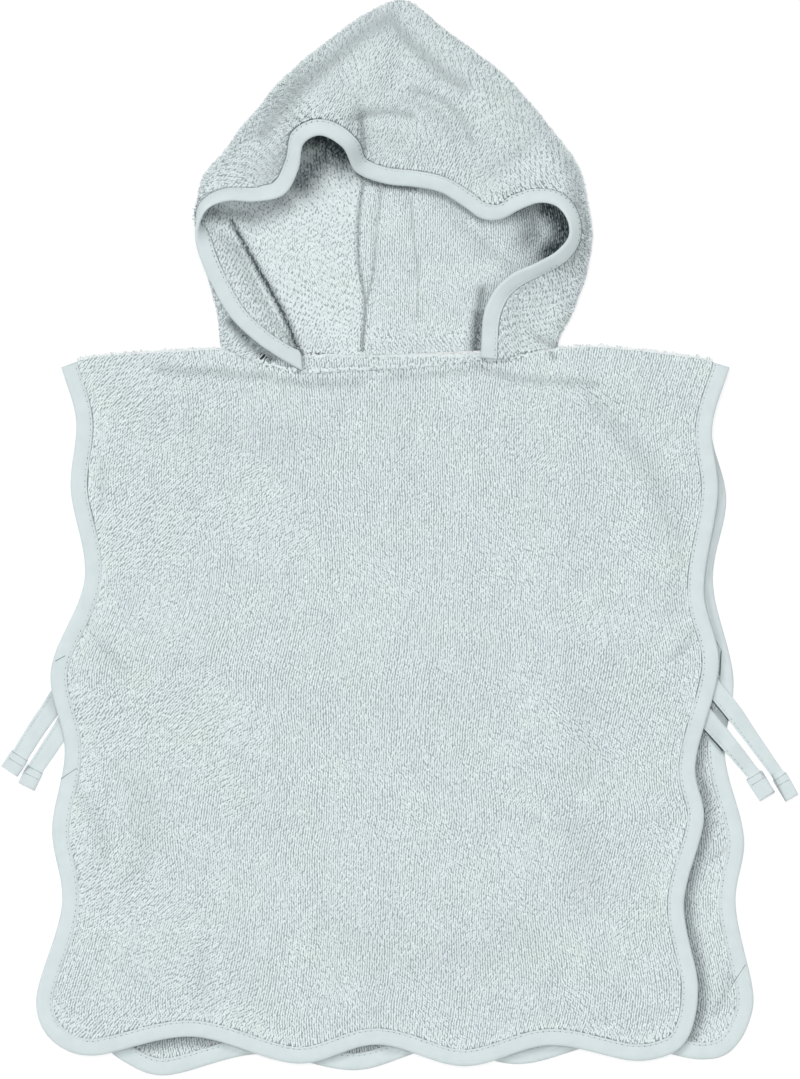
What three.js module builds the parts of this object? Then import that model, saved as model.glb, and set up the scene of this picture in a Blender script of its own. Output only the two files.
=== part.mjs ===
// A child's hooded bath poncho in cotton terry, laid out flat with its front uppermost.
// Millimetres. +X is to the right as it lies, +Y points to the tip of the hood, +Z is up.
// The origin is under the middle of the whole garment, on the surface that it lies on.

import * as THREE from "three";
import { mergeVertices } from "three/addons/utils/BufferGeometryUtils.js";

// Driving dimensions of the cloth
const WALL = 3; // terry with its pile
const SEAM = 0.3; // clearance between pieces that are sewn together or lie on each other
const FACE_SEAM = 0.45; // the same along the hood's face edge, which twists
const BINDING = 12.5; // finished width of the bias binding
const BOUND = 3; // thickness of the bound edge
const BOUND_NOSE = 0.8; // depth over which the bound edge rounds off
const SHOULDER_NOSE = 1; // how far a folded shoulder edge rounds out
const FRONT_LEVEL = WALL + SEAM; // the front panel lies on the back panel
const TIE_WIDTH = 12;
const TIE_THICK = 1.6;

// How far the front settles to the surface beyond the hidden edge of the back
const SETTLE_START = 16;
const SETTLE_END = 34;
// How far the front is lifted at the right by the two ties that come out from under it
const TIE_LIFT = 2.1;
const TIE_LIFT_MIDDLE = -116;
const TIE_LIFT_REACH = 46;
const TIE_LIFT_DEPTH = 50;

// Mesh fineness
const EDGE_STEPS = 5; // samples between two rows of an edge table
const HOOD_STEPS = 2; // samples between two ribs of the hood
const FIRST_ROW = 3; // edge sample at which the straight rows of a panel begin
const SIDE_STOPS = [0, 14, 28, 42]; // points of a row, measured in from each side

// Edges of the two panels, on the outside of the binding. The sides run down from the shoulder and
// end on the crest above the rounded corner. The hem runs between those two crests.
const EDGE_COLUMNS = ["x", "y"];
const FRONT_LEFT = table(EDGE_COLUMNS, [
  [-253.5, 128], // shoulder
  [-242.5, 88.5],
  [-246.5, 37.5],
  [-236, -30],
  [-261.5, -100.5],
  [-251, -159],
  [-260.5, -219],
  [-253, -273],
  [-272.5, -348],
]);
const FRONT_RIGHT = table(EDGE_COLUMNS, [
  [247.5, 128],
  [234.5, 83],
  [239, 36],
  [228.5, -41],
  [239.5, -93],
  [222, -172.5],
  [228.5, -209],
  [213.5, -274.5],
  [224, -336],
]);
const FRONT_HEM = table(EDGE_COLUMNS, [
  [-266, -370.5],
  [-250, -384],
  [-230.5, -388],
  [-156.5, -374],
  [-74.5, -394],
  [-17, -380],
  [48.5, -396],
  [113, -380.5],
  [177.5, -392],
  [199, -388.5],
  [211, -382],
  [219.5, -368],
]);
const BACK_LEFT = table(EDGE_COLUMNS, [
  [-253.5, 128],
  [-239, 88],
  [-238, 35],
  [-221.5, -34.5],
  [-240.5, -107],
  [-224.5, -167],
  [-228.5, -229],
  [-215.5, -284.5],
  [-224.5, -360],
]);
const BACK_RIGHT = table(EDGE_COLUMNS, [
  [247.5, 128],
  [234, 83],
  [245, 30],
  [235, -31.5],
  [250.5, -106.5],
  [244, -162],
  [258.5, -226.5],
  [252, -273],
  [265.5, -345],
]);
const BACK_HEM = table(EDGE_COLUMNS, [
  [-220, -381],
  [-203.5, -394.5],
  [-179.5, -403],
  [-106, -387],
  [-32, -399],
  [29, -383],
  [89.5, -394.5],
  [158, -379],
  [226, -391],
  [243.5, -388],
  [254.5, -378],
  [262.5, -362],
]);

// Top edges from the left shoulder to the right one, between the ends of the binding
const LEFT_NECK = [-133, 142.5];
const RIGHT_NECK = [118, 143];
const SHOULDER_LEFT = table(EDGE_COLUMNS, [
  [-232, 136],
  [-208, 138.3],
  [-184, 139.8],
  [-158, 141.2],
]);
const SHOULDER_RIGHT = table(EDGE_COLUMNS, [
  [146, 144],
  [167, 142.5],
  [188, 140.3],
  [207, 137.8],
  [226, 135],
]);
const FRONT_NECKLINE = table(EDGE_COLUMNS, [
  [-118, 136.4],
  [-103, 131.4],
  [-88, 127.2],
  [-73, 124],
  [-49, 125.3],
  [-22, 126.2],
  [23, 129],
  [46, 131.8],
  [61, 133.6],
  [74, 133],
  [95.5, 137.4],
  [107, 140.3],
]);
const BACK_NECK_MIDDLE = [-28, 136.4];

// The hood is one piece, folded over its tip and joined down the middle of the back. Ribs run
// from its face edge out to the fold at its side and back along the surface to the centre seam.
// They go round the face edge from the left of the neck to the right of it.
// face: the bound edge. band: which way the binding lies from it. crown: the outside of the cloth
// halfway to the fold. fold: the outline on the surface. foot: how far inside the fold the inner
// face meets the layer below, which is wide where the left flank is turned out.
const RIB_COLUMNS = [
  "faceX", "faceY", "faceZ", "bandX", "bandY", "bandZ", "crownX", "crownY", "crownZ",
  "foldX", "foldY", "foot",
];
const RIBS = table(RIB_COLUMNS, [
  [-72.5, 125, 7.4, -73.5, 135, 7.8, -103, 133, 4.8, -133, 142.5, 60], // neck, left
  [-87.5, 133.5, 9, -79, 142, 9.6, -107.5, 139.5, 5, -134, 148, 56],
  [-107.5, 147, 10.2, -96.5, 154.5, 11.4, -121, 148, 5.2, -134.5, 155, 51],
  [-127, 166, 11.7, -114.5, 172, 13.2, -128.5, 165, 5.2, -135.5, 165, 46],
  [-142.5, 193.5, 13, -132.5, 199, 14.5, -139, 192, 5.2, -141.5, 191, 38],
  [-151, 214.5, 15.5, -141.5, 219.5, 14.5, -145.5, 215, 5.2, -147.5, 214.5, 33],
  [-153, 226.5, 18.5, -145.5, 230, 10.5, -149, 226.5, 5.4, -151, 226.5, 29],
  [-149.5, 238, 20.5, -151.5, 240, 8, -152, 238.5, 5.6, -152.5, 238.5, 23], // left twist
  [-143.5, 247, 21, -148, 251, 10.5, -150.5, 250, 6.2, -152, 250, 12],
  [-129.5, 252.5, 20, -131, 260, 12.5, -140, 267, 9, -146.5, 271, 7],
  [-107.5, 252, 17, -106, 260, 12, -121, 284, 11.5, -130, 291, 5],
  [-86.5, 257, 18, -94, 266, 15, -107, 303, 13.5, -117.5, 308, 4],
  [-75.5, 276, 24, -84, 283.5, 22, -95.5, 318, 15.5, -104, 324, 4],
  [-71.5, 295, 30, -79, 303, 29, -84, 332, 17, -91, 340, 4],
  [-59.5, 301, 34, -61, 313, 33, -70, 344, 18, -72.5, 357, 4], // top of the arch
  [-43, 292.5, 31, -34, 298, 29, -42, 353, 17.5, -44.5, 379, 4],
  [-32.5, 274, 15.5, -26.5, 283, 15, -25, 352, 16.5, -21.5, 394.5, 4],
  [-11, 265.5, 9.6, -9.5, 278, 10.5, -2.5, 349, 16, 2, 403, 4], // tip of the hood
  [11.5, 263, 9.4, 14, 276, 11, 14, 351, 16, 15.5, 396, 4],
  [30.5, 259, 9.3, 35.5, 269, 11.5, 30.5, 346, 16, 30.5, 383, 4],
  [47, 249, 9.2, 53.5, 259.5, 11.5, 47.5, 336, 16, 48.5, 370, 4],
  [62, 239, 9.2, 65.5, 250.5, 11, 64, 322, 16, 66.5, 356, 4],
  [75.5, 238.5, 9.8, 75.5, 247.5, 12, 79, 309, 15, 81.5, 343.5, 4],
  [90.5, 246, 14.5, 86, 254, 13, 93, 295, 13.5, 98, 325, 4],
  [105.5, 251, 21, 102.5, 259.5, 16, 112, 283, 12.5, 121.5, 296, 4],
  [118, 248, 25, 122, 256, 18, 127, 266, 12.5, 134.5, 276, 4],
  [125.5, 238.5, 27, 132, 243, 19, 135, 247, 12, 140.5, 251, 4], // right loop
  [127, 226.5, 27, 133, 223.5, 19, 138, 226, 12, 144, 226.5, 4],
  [118, 215, 25, 124, 209, 18, 133.5, 207.5, 11, 141.5, 207, 4],
  [101.5, 205.5, 23, 106.5, 200, 17, 122, 193, 10.5, 137, 190.5, 4],
  [84.5, 198, 21, 89.5, 191, 16, 112, 179.5, 10, 131.5, 175.5, 4],
  [71, 185.5, 18, 79, 181.5, 14.5, 103, 167, 9.5, 126.5, 163.5, 4],
  [63.5, 169.5, 14.5, 74.5, 167, 13, 97, 158, 9, 121, 154, 4],
  [61.5, 151, 10.5, 73, 149, 10.5, 94, 147, 8, 118.5, 147, 4],
  [61, 135, 8, 72.5, 134, 8, 94, 139, 6.6, 118, 143, 4], // neck, right
]);
const TIP_RIB = 17;
// The seam down the middle of the back of the hood, from the neck up to just inside the tip
const CENTRE_SEAM = table(EDGE_COLUMNS, [
  [-28, 137],
  [-26.5, 154],
  [-28, 182],
  [-29.5, 226],
  [-24.5, 267],
  [-20.5, 313.5],
  [-11, 358.5],
  [1, 391],
]);

// Ties of folded tape: the middle of the underside from the root to the turned-in end
const TIE_COLUMNS = ["x", "y", "z", "wide", "thick"];
const TIES = {
  tie_front_left: table(TIE_COLUMNS, [
    [-247, -103.5, 0.8, TIE_WIDTH, TIE_THICK],
    [-257, -121, 0.8, TIE_WIDTH, TIE_THICK],
    [-274, -146, 0, TIE_WIDTH, TIE_THICK],
    [-285, -162, 0, TIE_WIDTH, TIE_THICK],
    [-286, -163.5, 0, TIE_WIDTH + 1, TIE_THICK + 0.8],
    [-292.5, -174, 0, TIE_WIDTH + 1, TIE_THICK + 0.8],
  ]),
  tie_back_left: table(TIE_COLUMNS, [
    [-244.5, -127.5, 0, TIE_WIDTH, TIE_THICK],
    [-252.5, -143, 0, TIE_WIDTH, TIE_THICK],
    [-265.5, -161.5, 0, TIE_WIDTH, TIE_THICK],
    [-272.5, -173, 0, TIE_WIDTH, TIE_THICK],
    [-273.5, -174.7, 0, TIE_WIDTH + 1, TIE_THICK + 0.8],
    [-280, -187.5, 0, TIE_WIDTH + 1, TIE_THICK + 0.8],
  ]),
  tie_front_right: table(TIE_COLUMNS, [
    [228, -103, FRONT_LEVEL, TIE_WIDTH, TIE_THICK],
    [237.5, -114.5, FRONT_LEVEL, TIE_WIDTH, TIE_THICK],
    [251.5, -132, FRONT_LEVEL, TIE_WIDTH, TIE_THICK],
    [260, -144, 1, TIE_WIDTH, TIE_THICK],
    [265, -151, 0, TIE_WIDTH, TIE_THICK],
    [284, -177.5, 0, TIE_WIDTH, TIE_THICK],
    [285, -179, 0, TIE_WIDTH + 1.5, TIE_THICK + 0.8],
    [295, -195, 0, TIE_WIDTH + 1.5, TIE_THICK + 0.8],
  ]),
  tie_back_right: table(TIE_COLUMNS, [
    [218, -121.5, FRONT_LEVEL, TIE_WIDTH, TIE_THICK],
    [232, -137, FRONT_LEVEL, TIE_WIDTH, TIE_THICK],
    [249, -156.8, FRONT_LEVEL, TIE_WIDTH, TIE_THICK],
    [257, -166.5, 1, TIE_WIDTH, TIE_THICK],
    [261, -171.5, 0, TIE_WIDTH, TIE_THICK],
    [265, -176.5, 0, TIE_WIDTH, TIE_THICK],
    [265.6, -178.2, 0, TIE_WIDTH + 2.5, TIE_THICK + 0.8],
    [276.5, -194, 0, TIE_WIDTH + 2.5, TIE_THICK + 0.8],
  ]),
};

const TERRY = { color: 0xccd8da, roughness: 1, metalness: 0 };
const COTTON_TAPE = { color: 0xd6e1e2, roughness: 0.85, metalness: 0 };

// Turns rows of numbers into rows with named columns
function table(columns, rows) {
  return rows.map((row) => Object.fromEntries(columns.map((name, i) => [name, row[i]])));
}

const plan = (x, y) => new THREE.Vector3(x, y, 0);
const at = (point, z) => new THREE.Vector3(point.x, point.y, z);
const mix = (a, b, share) => a.clone().lerp(b, share);
const smoothstep = THREE.MathUtils.smoothstep;

// A smooth line through the points, with the same number of samples in every gap
function throughPoints(points, steps) {
  return new THREE.CatmullRomCurve3(points).getPoints((points.length - 1) * steps);
}

// Collects triangles and makes a closed, merged mesh of them
class Solid {
  constructor() {
    this.corners = [];
  }

  triangle(a, b, c) {
    const same = a.distanceTo(b) < 1e-6 || b.distanceTo(c) < 1e-6 || c.distanceTo(a) < 1e-6;
    if (!same) {
      this.corners.push(a, b, c);
    }
  }

  quad(a, b, c, d) {
    this.triangle(a, b, c);
    this.triangle(a, c, d);
  }

  // Fills between two lines that may differ in their number of points, always closing the
  // nearer pair by length. The face is seen from its front when `upper` lies above `lower`
  // and both run to the right.
  between(upper, lower, flipped = false) {
    const shareU = shares(upper);
    const shareL = shares(lower);
    let u = 0;
    let l = 0;
    while (u < upper.length - 1 || l < lower.length - 1) {
      const nextU = u < upper.length - 1 ? shareU[u + 1] : Infinity;
      const nextL = l < lower.length - 1 ? shareL[l + 1] : Infinity;
      const lowerFirst = nextL <= nextU;
      const third = lowerFirst ? lower[l + 1] : upper[u + 1];
      if (flipped) {
        this.triangle(upper[u], third, lower[l]);
      } else {
        this.triangle(upper[u], lower[l], third);
      }
      if (lowerFirst) {
        l += 1;
      } else {
        u += 1;
      }
    }
  }

  // Skins closed rings of equal count, and caps the first and the last one, which are convex
  skin(rings) {
    for (let i = 0; i < rings.length - 1; i += 1) {
      const here = rings[i];
      const next = rings[i + 1];
      here.forEach((point, k) => {
        const k2 = (k + 1) % here.length;
        this.quad(point, here[k2], next[k2], next[k]);
      });
    }
    this.cap(rings[0], true);
    this.cap(rings[rings.length - 1], false);
  }

  cap(ring, flipped) {
    for (let k = 1; k < ring.length - 1; k += 1) {
      if (flipped) {
        this.triangle(ring[0], ring[k + 1], ring[k]);
      } else {
        this.triangle(ring[0], ring[k], ring[k + 1]);
      }
    }
  }

  mesh(name, finish) {
    const geometry = new THREE.BufferGeometry().setFromPoints(this.corners);
    const merged = mergeVertices(geometry, 1e-4);
    merged.computeVertexNormals();
    const mesh = new THREE.Mesh(merged, new THREE.MeshStandardMaterial(finish));
    mesh.name = name;
    return mesh;
  }
}

// The share of a line's length that lies before each of its points
function shares(line) {
  const lengths = [0];
  for (let i = 1; i < line.length; i += 1) {
    lengths.push(lengths[i - 1] + line[i].distanceTo(line[i - 1]));
  }
  const total = lengths[lengths.length - 1];
  return lengths.map((length) => (total > 0 ? length / total : 0));
}

// A bound outline: its samples, and the direction that points into the panel at each
function boundOutline(left, hem, right) {
  const rows = [...left, ...hem, ...right.toReversed()];
  const outer = throughPoints(rows.map((row) => plan(row.x, row.y)), EDGE_STEPS);
  const inward = outer.map((point, i) => {
    const before = outer[Math.max(i - 1, 0)];
    const after = outer[Math.min(i + 1, outer.length - 1)];
    const along = after.clone().sub(before).normalize();
    return plan(-along.y, along.x);
  });
  return { outer, inward, sideEnd: (left.length - 1) * EDGE_STEPS };
}

const inset = (outline, i, depth) =>
  outline.outer[i].clone().addScaledVector(outline.inward[i], depth);

const frontOutline = boundOutline(FRONT_LEFT, FRONT_HEM, FRONT_RIGHT);
const backOutline = boundOutline(BACK_LEFT, BACK_HEM, BACK_RIGHT);

// How far a point lies inside the left edge of the back panel, along X
function insideBackLeft(point) {
  const edge = backOutline.outer;
  for (let i = 0; i < backOutline.sideEnd; i += 1) {
    const above = edge[i];
    const below = edge[i + 1];
    if (point.y <= above.y && point.y >= below.y) {
      const share = (above.y - point.y) / (above.y - below.y);
      return point.x - THREE.MathUtils.lerp(above.x, below.x, share);
    }
  }
  const nearest = point.y > 0 ? edge[0] : edge[backOutline.sideEnd];
  return point.x - nearest.x;
}

// The x of the right edge of the front panel at the height of the ties
const FRONT_RIGHT_AT_TIES = 238;

// The level of the front panel's underside: on the back panel, down on the surface beyond the
// back panel's left edge, and a little higher at the right where the ties come out
function frontUnder(point) {
  const settled = smoothstep(insideBackLeft(point), -SETTLE_END, -SETTLE_START);
  const level = FRONT_LEVEL * settled;
  const down = Math.abs(point.y - TIE_LIFT_MIDDLE) / TIE_LIFT_REACH;
  const across = (FRONT_RIGHT_AT_TIES - point.x) / TIE_LIFT_DEPTH;
  const nearTies = (1 - smoothstep(down, 0.55, 1)) * (1 - smoothstep(across, 0.6, 1));
  return level + TIE_LIFT * nearTies;
}

const backUnder = () => 0;

// Where a row across a panel has its points: close together near both sides, or evenly spread
// where the row lies next to a waved or shaped edge
const sideStops = (width) => [
  ...SIDE_STOPS,
  width / 2,
  ...SIDE_STOPS.map((stop) => width - stop).toReversed(),
];
const evenStops = (width, count) => Array.from({ length: count }, (_, i) => (width * i) / (count - 1));

// Terry panel: rows from side to side, with the top edge above them and the hem below them
function panel(name, outline, topEdge, under) {
  const depth = BINDING + SEAM;
  const last = outline.outer.length - 1;
  const edge = outline.outer.map((_, i) => inset(outline, i, depth));
  const end = outline.sideEnd;
  const top = [
    ...edge.slice(0, FIRST_ROW + 1).toReversed(),
    ...topEdge.map((row) => plan(row.x, row.y)),
    ...edge.slice(last - FIRST_ROW).toReversed(),
  ];
  const hem = edge.slice(end, last - end + 1);
  const rows = [];
  for (let i = FIRST_ROW; i <= end; i += 1) {
    const left = edge[i];
    const right = edge[last - i];
    const width = left.distanceTo(right);
    const fine = i === FIRST_ROW || i === end;
    const stops = fine ? evenStops(width, hem.length) : sideStops(width);
    rows.push(stops.map((stop) => mix(left, right, stop / width)));
  }

  const solid = new Solid();
  const high = (point) => at(point, under(point) + WALL);
  const low = (point) => at(point, under(point));
  const lines = [top, ...rows, hem];
  for (let i = 0; i < lines.length - 1; i += 1) {
    solid.between(lines[i].map(high), lines[i + 1].map(high));
    solid.between(lines[i].map(low), lines[i + 1].map(low), true);
  }

  // The cut edge all round, anticlockwise, rounded out where the cloth turns over a shoulder
  const sideDown = edge.slice(FIRST_ROW, end);
  const sideUp = edge.slice(last - end + 1, last - FIRST_ROW + 1);
  const loop = [...sideDown, ...hem, ...sideUp, ...top.slice(1, -1).toReversed()];
  const roundFrom = sideDown.length + hem.length + sideUp.length + FIRST_ROW;
  const roundTo = loop.length - FIRST_ROW;
  const middle = loop.map((point, i) => {
    const before = loop[(i + loop.length - 1) % loop.length];
    const after = loop[(i + 1) % loop.length];
    const along = after.clone().sub(before).normalize();
    const nose = i >= roundFrom && i < roundTo ? SHOULDER_NOSE : 0;
    const out = point.clone().addScaledVector(plan(along.y, -along.x), nose);
    return at(out, under(point) + WALL / 2);
  });
  loop.forEach((point, i) => {
    const i2 = (i + 1) % loop.length;
    solid.quad(low(point), low(loop[i2]), middle[i2], middle[i]);
    solid.quad(middle[i], middle[i2], high(loop[i2]), high(point));
  });
  return solid.mesh(name, TERRY);
}

// Bias binding along the sides and the hem, with a rounded outer edge
function panelBinding(name, outline, under) {
  const section = [
    [BINDING, BOUND],
    [BOUND_NOSE, BOUND],
    [0, BOUND / 2],
    [BOUND_NOSE, 0],
    [BINDING, 0],
  ];
  const rings = outline.outer.map((_, i) =>
    section.map(([depth, height]) => {
      const point = inset(outline, i, depth);
      return at(point, under(point) + height);
    })
  );
  const solid = new Solid();
  solid.skin(rings);
  return solid.mesh(name, COTTON_TAPE);
}

// The shoulders and the neckline of a panel, kept clear of the binding and of the hood
function topEdgeOf(neckline) {
  const rows = [
    ...SHOULDER_LEFT,
    { x: LEFT_NECK[0] - 2, y: LEFT_NECK[1] - 0.6 },
    ...neckline,
    { x: RIGHT_NECK[0] + 2, y: RIGHT_NECK[1] - 0.6 },
    ...SHOULDER_RIGHT,
  ];
  return rows.map((row) => ({ x: row.x, y: row.y - SHOULDER_NOSE }));
}

// A smooth run of values through the named columns of the ribs
function alongRibs(names) {
  const points = RIBS.map((rib) => new THREE.Vector3(...names.map((name) => rib[name])));
  return throughPoints(points, HOOD_STEPS);
}

// Places along the hood's face edge, each with its binding, its two skins and its seam point
function hoodStations() {
  const face = alongRibs(["faceX", "faceY", "faceZ"]);
  const band = alongRibs(["bandX", "bandY", "bandZ"]);
  const crown = alongRibs(["crownX", "crownY", "crownZ"]);
  const fold = alongRibs(["foldX", "foldY", "foot"]);
  const seamLine = new THREE.CatmullRomCurve3(CENTRE_SEAM.map((row) => plan(row.x, row.y)));
  const tip = TIP_RIB * HOOD_STEPS;
  const last = face.length - 1;
  const meanFold = (i) => (fold[i].y + fold[last - i].y) / 2;
  return face.map((point, i) => {
    const along = face[Math.min(i + 1, last)].clone().sub(face[Math.max(i - 1, 0)]);
    const across = band[i].clone().sub(point).normalize();
    const out = along.cross(across).normalize();
    const pair = Math.min(i, last - i);
    const rise = (meanFold(pair) - meanFold(0)) / (meanFold(tip) - meanFold(0));
    return {
      face: point,
      across,
      out,
      crown: crown[i],
      fold: plan(fold[i].x, fold[i].y),
      foot: fold[i].z,
      seam: seamLine.getPointAt(THREE.MathUtils.clamp(rise, 0, 1)),
    };
  });
}

const FOLD_LEVEL = WALL - 0.2; // height at which the folded side is widest
const TURNED_FROM = 5; // feet longer than this belong to the flank that is turned out
const TURNED_FULLY = 20;
const OUTER_SPAN = 4; // samples in each span of the outer skin
const INNER_SPAN = 3; // samples in each span of the inner skin

// The outer skin of one rib: out from the binding, round the side fold and back underneath
function outerSkin(station) {
  const { face, across, out, crown, fold, foot, seam } = station;
  const turned = smoothstep(foot, TURNED_FROM, TURNED_FULLY);
  const start = face.clone().addScaledVector(across, BINDING + FACE_SEAM);
  start.addScaledVector(out, WALL / 2 + SEAM * turned);
  const inwards = seam.clone().sub(fold).normalize();
  const approach = plan(crown.x - fold.x, crown.y - fold.y);
  const slack = Math.min(WALL, approach.length() / 2);
  const shoulder = at(fold.clone().addScaledVector(approach.normalize(), slack), 2 * FOLD_LEVEL);
  const side = at(fold, FOLD_LEVEL);
  const under = at(fold.clone().addScaledVector(inwards, WALL), 0);
  const bends = [start, crown, shoulder, side, under];
  const curve = new THREE.CatmullRomCurve3(bends);
  const line = [];
  for (let k = 0; k <= 2 * OUTER_SPAN; k += 1) {
    line.push(curve.getPoint(k / OUTER_SPAN / (bends.length - 1)));
  }
  line.push(curve.getPoint(0.625), side, curve.getPoint(0.875), under);
  line.push(at(mix(under, seam, 0.5), 0), at(seam, 0));
  return line;
}

// The inner skin of one rib: from the binding to the foot of the hollow and across the floor
function innerSkin(station) {
  const { face, across, out, crown, fold, foot, seam } = station;
  const start = face.clone().addScaledVector(across, BINDING + FACE_SEAM);
  start.addScaledVector(out, -WALL / 2);
  const inwards = seam.clone().sub(fold).normalize();
  const footPoint = at(fold.clone().addScaledVector(inwards, foot), WALL);
  const down = crown.clone().sub(at(fold, FOLD_LEVEL));
  const flat = Math.hypot(down.x, down.y);
  const steep = plan(down.x, down.y).normalize().multiplyScalar(down.z);
  const inner = crown.clone().add(at(steep, -flat).multiplyScalar(WALL / Math.hypot(flat, down.z)));
  const turned = smoothstep(foot, TURNED_FROM, TURNED_FULLY);
  const middle = mix(inner, mix(start, footPoint, 0.55).setZ(start.z * 0.55 + WALL * 0.6), turned);
  const curve = new THREE.CatmullRomCurve3([start, middle, footPoint]);
  const line = curve.getPoints(2 * INNER_SPAN);
  line.push(at(mix(footPoint, seam, 0.5), WALL), at(seam, WALL));
  return line;
}

function hood(stations) {
  const outer = stations.map(outerSkin);
  const inner = stations.map(innerSkin);
  const solid = new Solid();
  for (let i = 0; i < stations.length - 1; i += 1) {
    for (let k = 0; k < outer[i].length - 1; k += 1) {
      solid.quad(outer[i][k], outer[i + 1][k], outer[i + 1][k + 1], outer[i][k + 1]);
    }
    for (let k = 0; k < inner[i].length - 1; k += 1) {
      solid.quad(inner[i][k], inner[i][k + 1], inner[i + 1][k + 1], inner[i + 1][k]);
    }
    solid.quad(inner[i][0], inner[i + 1][0], outer[i + 1][0], outer[i][0]);
  }
  // At the left of the neck the flank is solid, so its steep inner side is closed by itself
  const foot = 2 * INNER_SPAN;
  for (let k = 0; k < foot; k += 1) {
    solid.triangle(outer[0][0], inner[0][k + 1], inner[0][k]);
  }
  solid.between(outer[0], inner[0].slice(foot), true);
  const last = stations.length - 1;
  solid.between(outer[last], inner[last]);
  return solid.mesh("hood", TERRY);
}

function hoodBinding(stations) {
  const half = BOUND / 2;
  const section = [
    [BINDING, half],
    [BOUND_NOSE, half],
    [0, 0],
    [BOUND_NOSE, -half],
    [BINDING, -half],
  ];
  const rings = stations.map(({ face, across, out }) =>
    section.map(([depth, height]) =>
      face.clone().addScaledVector(across, depth).addScaledVector(out, height)
    )
  );
  const solid = new Solid();
  solid.skin(rings);
  return solid.mesh("hood_binding", COTTON_TAPE);
}

// Flat tie: a rectangle carried along its line
function tie(name, rows) {
  const rings = rows.map((row, i) => {
    const before = rows[Math.max(i - 1, 0)];
    const after = rows[Math.min(i + 1, rows.length - 1)];
    const along = plan(after.x - before.x, after.y - before.y).normalize();
    const aside = plan(-along.y, along.x).multiplyScalar(row.wide / 2);
    const middle = plan(row.x, row.y);
    const left = middle.clone().add(aside);
    const right = middle.clone().sub(aside);
    return [
      at(left, row.z + row.thick),
      at(right, row.z + row.thick),
      at(right, row.z),
      at(left, row.z),
    ];
  });
  const solid = new Solid();
  solid.skin(rings);
  return solid.mesh(name, COTTON_TAPE);
}

const stations = hoodStations();
const backNeckline = [{ x: BACK_NECK_MIDDLE[0], y: BACK_NECK_MIDDLE[1] }];

const poncho = new THREE.Group();
poncho.add(panel("back_panel", backOutline, topEdgeOf(backNeckline), backUnder));
poncho.add(panelBinding("back_binding", backOutline, backUnder));
poncho.add(panel("front_panel", frontOutline, topEdgeOf(FRONT_NECKLINE), frontUnder));
poncho.add(panelBinding("front_binding", frontOutline, frontUnder));
poncho.add(hood(stations));
poncho.add(hoodBinding(stations));
Object.entries(TIES).forEach(([name, rows]) => poncho.add(tie(name, rows)));

export default poncho;
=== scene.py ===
# %% [markdown]
# # A child's hooded bath poncho, laid flat
# The poncho is pale cotton terry. A front and a back are joined at the shoulders, their sides and
# hems are cut in soft waves and bound with bias tape, narrow ties hold each side, and a pointed
# hood with a bound face edge is sewn round the neck.
# The frame holds the plain CAD solids. Every piece made here stands for one of them, in the same
# place and of the same form, and adds what a solid can't hold: pile, weave, stitches and creases.

import math

import bmesh
import bpy
import numpy as np
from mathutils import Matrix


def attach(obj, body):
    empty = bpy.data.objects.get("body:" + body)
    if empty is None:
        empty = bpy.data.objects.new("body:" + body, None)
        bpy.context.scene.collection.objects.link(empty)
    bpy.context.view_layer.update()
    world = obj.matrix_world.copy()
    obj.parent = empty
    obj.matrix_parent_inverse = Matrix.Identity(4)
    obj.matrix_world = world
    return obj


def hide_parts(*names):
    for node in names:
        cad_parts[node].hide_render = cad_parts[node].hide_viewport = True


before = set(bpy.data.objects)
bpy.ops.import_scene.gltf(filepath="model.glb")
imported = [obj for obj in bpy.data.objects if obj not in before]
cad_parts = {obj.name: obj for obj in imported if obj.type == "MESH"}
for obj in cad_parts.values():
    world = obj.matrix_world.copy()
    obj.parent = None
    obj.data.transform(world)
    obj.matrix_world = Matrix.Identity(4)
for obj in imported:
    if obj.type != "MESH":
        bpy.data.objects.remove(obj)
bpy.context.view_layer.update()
print("CAD nodes:", sorted(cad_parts))

# %% [markdown]
# ## Smooth lines from short tables
# A cloth edge is a flowing line, so a few measured points are enough to describe it. A
# centripetal Catmull-Rom spline goes through every point and never loops between two of them.
# All tables are in millimetres, which suits cloth, and are turned into metres when a mesh is made.

# %% Splines
MM = 0.001
WALL = 3.0
SEAM = 0.3


def length(vectors):
    return np.sqrt((vectors**2).sum(axis=-1))


def unit(vectors):
    return vectors / np.maximum(length(vectors), 1e-9)[..., None]


def smoothstep(value, low, high):
    share = np.clip((value - low) / (high - low), 0, 1)
    return share * share * (3 - 2 * share)


def spline(points, shares):
    """Places on a smooth line through the points, at shares of it from 0 to 1."""
    p = np.asarray(points, float)
    p = np.vstack([2 * p[0] - p[1], p, 2 * p[-1] - p[-2]])
    place = np.clip(np.asarray(shares, float), 0, 1) * (len(p) - 3)
    i = np.minimum(place.astype(int), len(p) - 4)
    t = (place - i)[:, None]
    a, b, c, d = p[i], p[i + 1], p[i + 2], p[i + 3]
    g0, g1, g2 = (np.sqrt(np.maximum(length(v - u), 1e-9))[:, None] for u, v in ((a, b), (b, c), (c, d)))
    start = ((b - a) / g0 - (c - a) / (g0 + g1) + (c - b) / g1) * g1
    end = ((c - b) / g1 - (d - b) / (g1 + g2) + (d - c) / g2) * g1
    t2, t3 = t * t, t**3
    return (2 * t3 - 3 * t2 + 1) * b + (t3 - 2 * t2 + t) * start + (3 * t2 - 2 * t3) * c + (t3 - t2) * end


def run_along(line):
    """How far along a line each of its points lies."""
    return np.concatenate([[0], np.cumsum(length(np.diff(line, axis=0)))])


def read_off(wanted, run, table):
    """The rows of a table at the wanted values of a running number."""
    return np.column_stack([np.interp(wanted, run, column) for column in table.T])


def even(line, pitch):
    """The same line with points one pitch apart."""
    run = run_along(line)
    return read_off(np.linspace(0, run[-1], max(2, round(run[-1] / pitch) + 1)), run, line)


print("wall of the terry:", WALL, "mm, gap at a seam:", SEAM, "mm")

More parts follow.
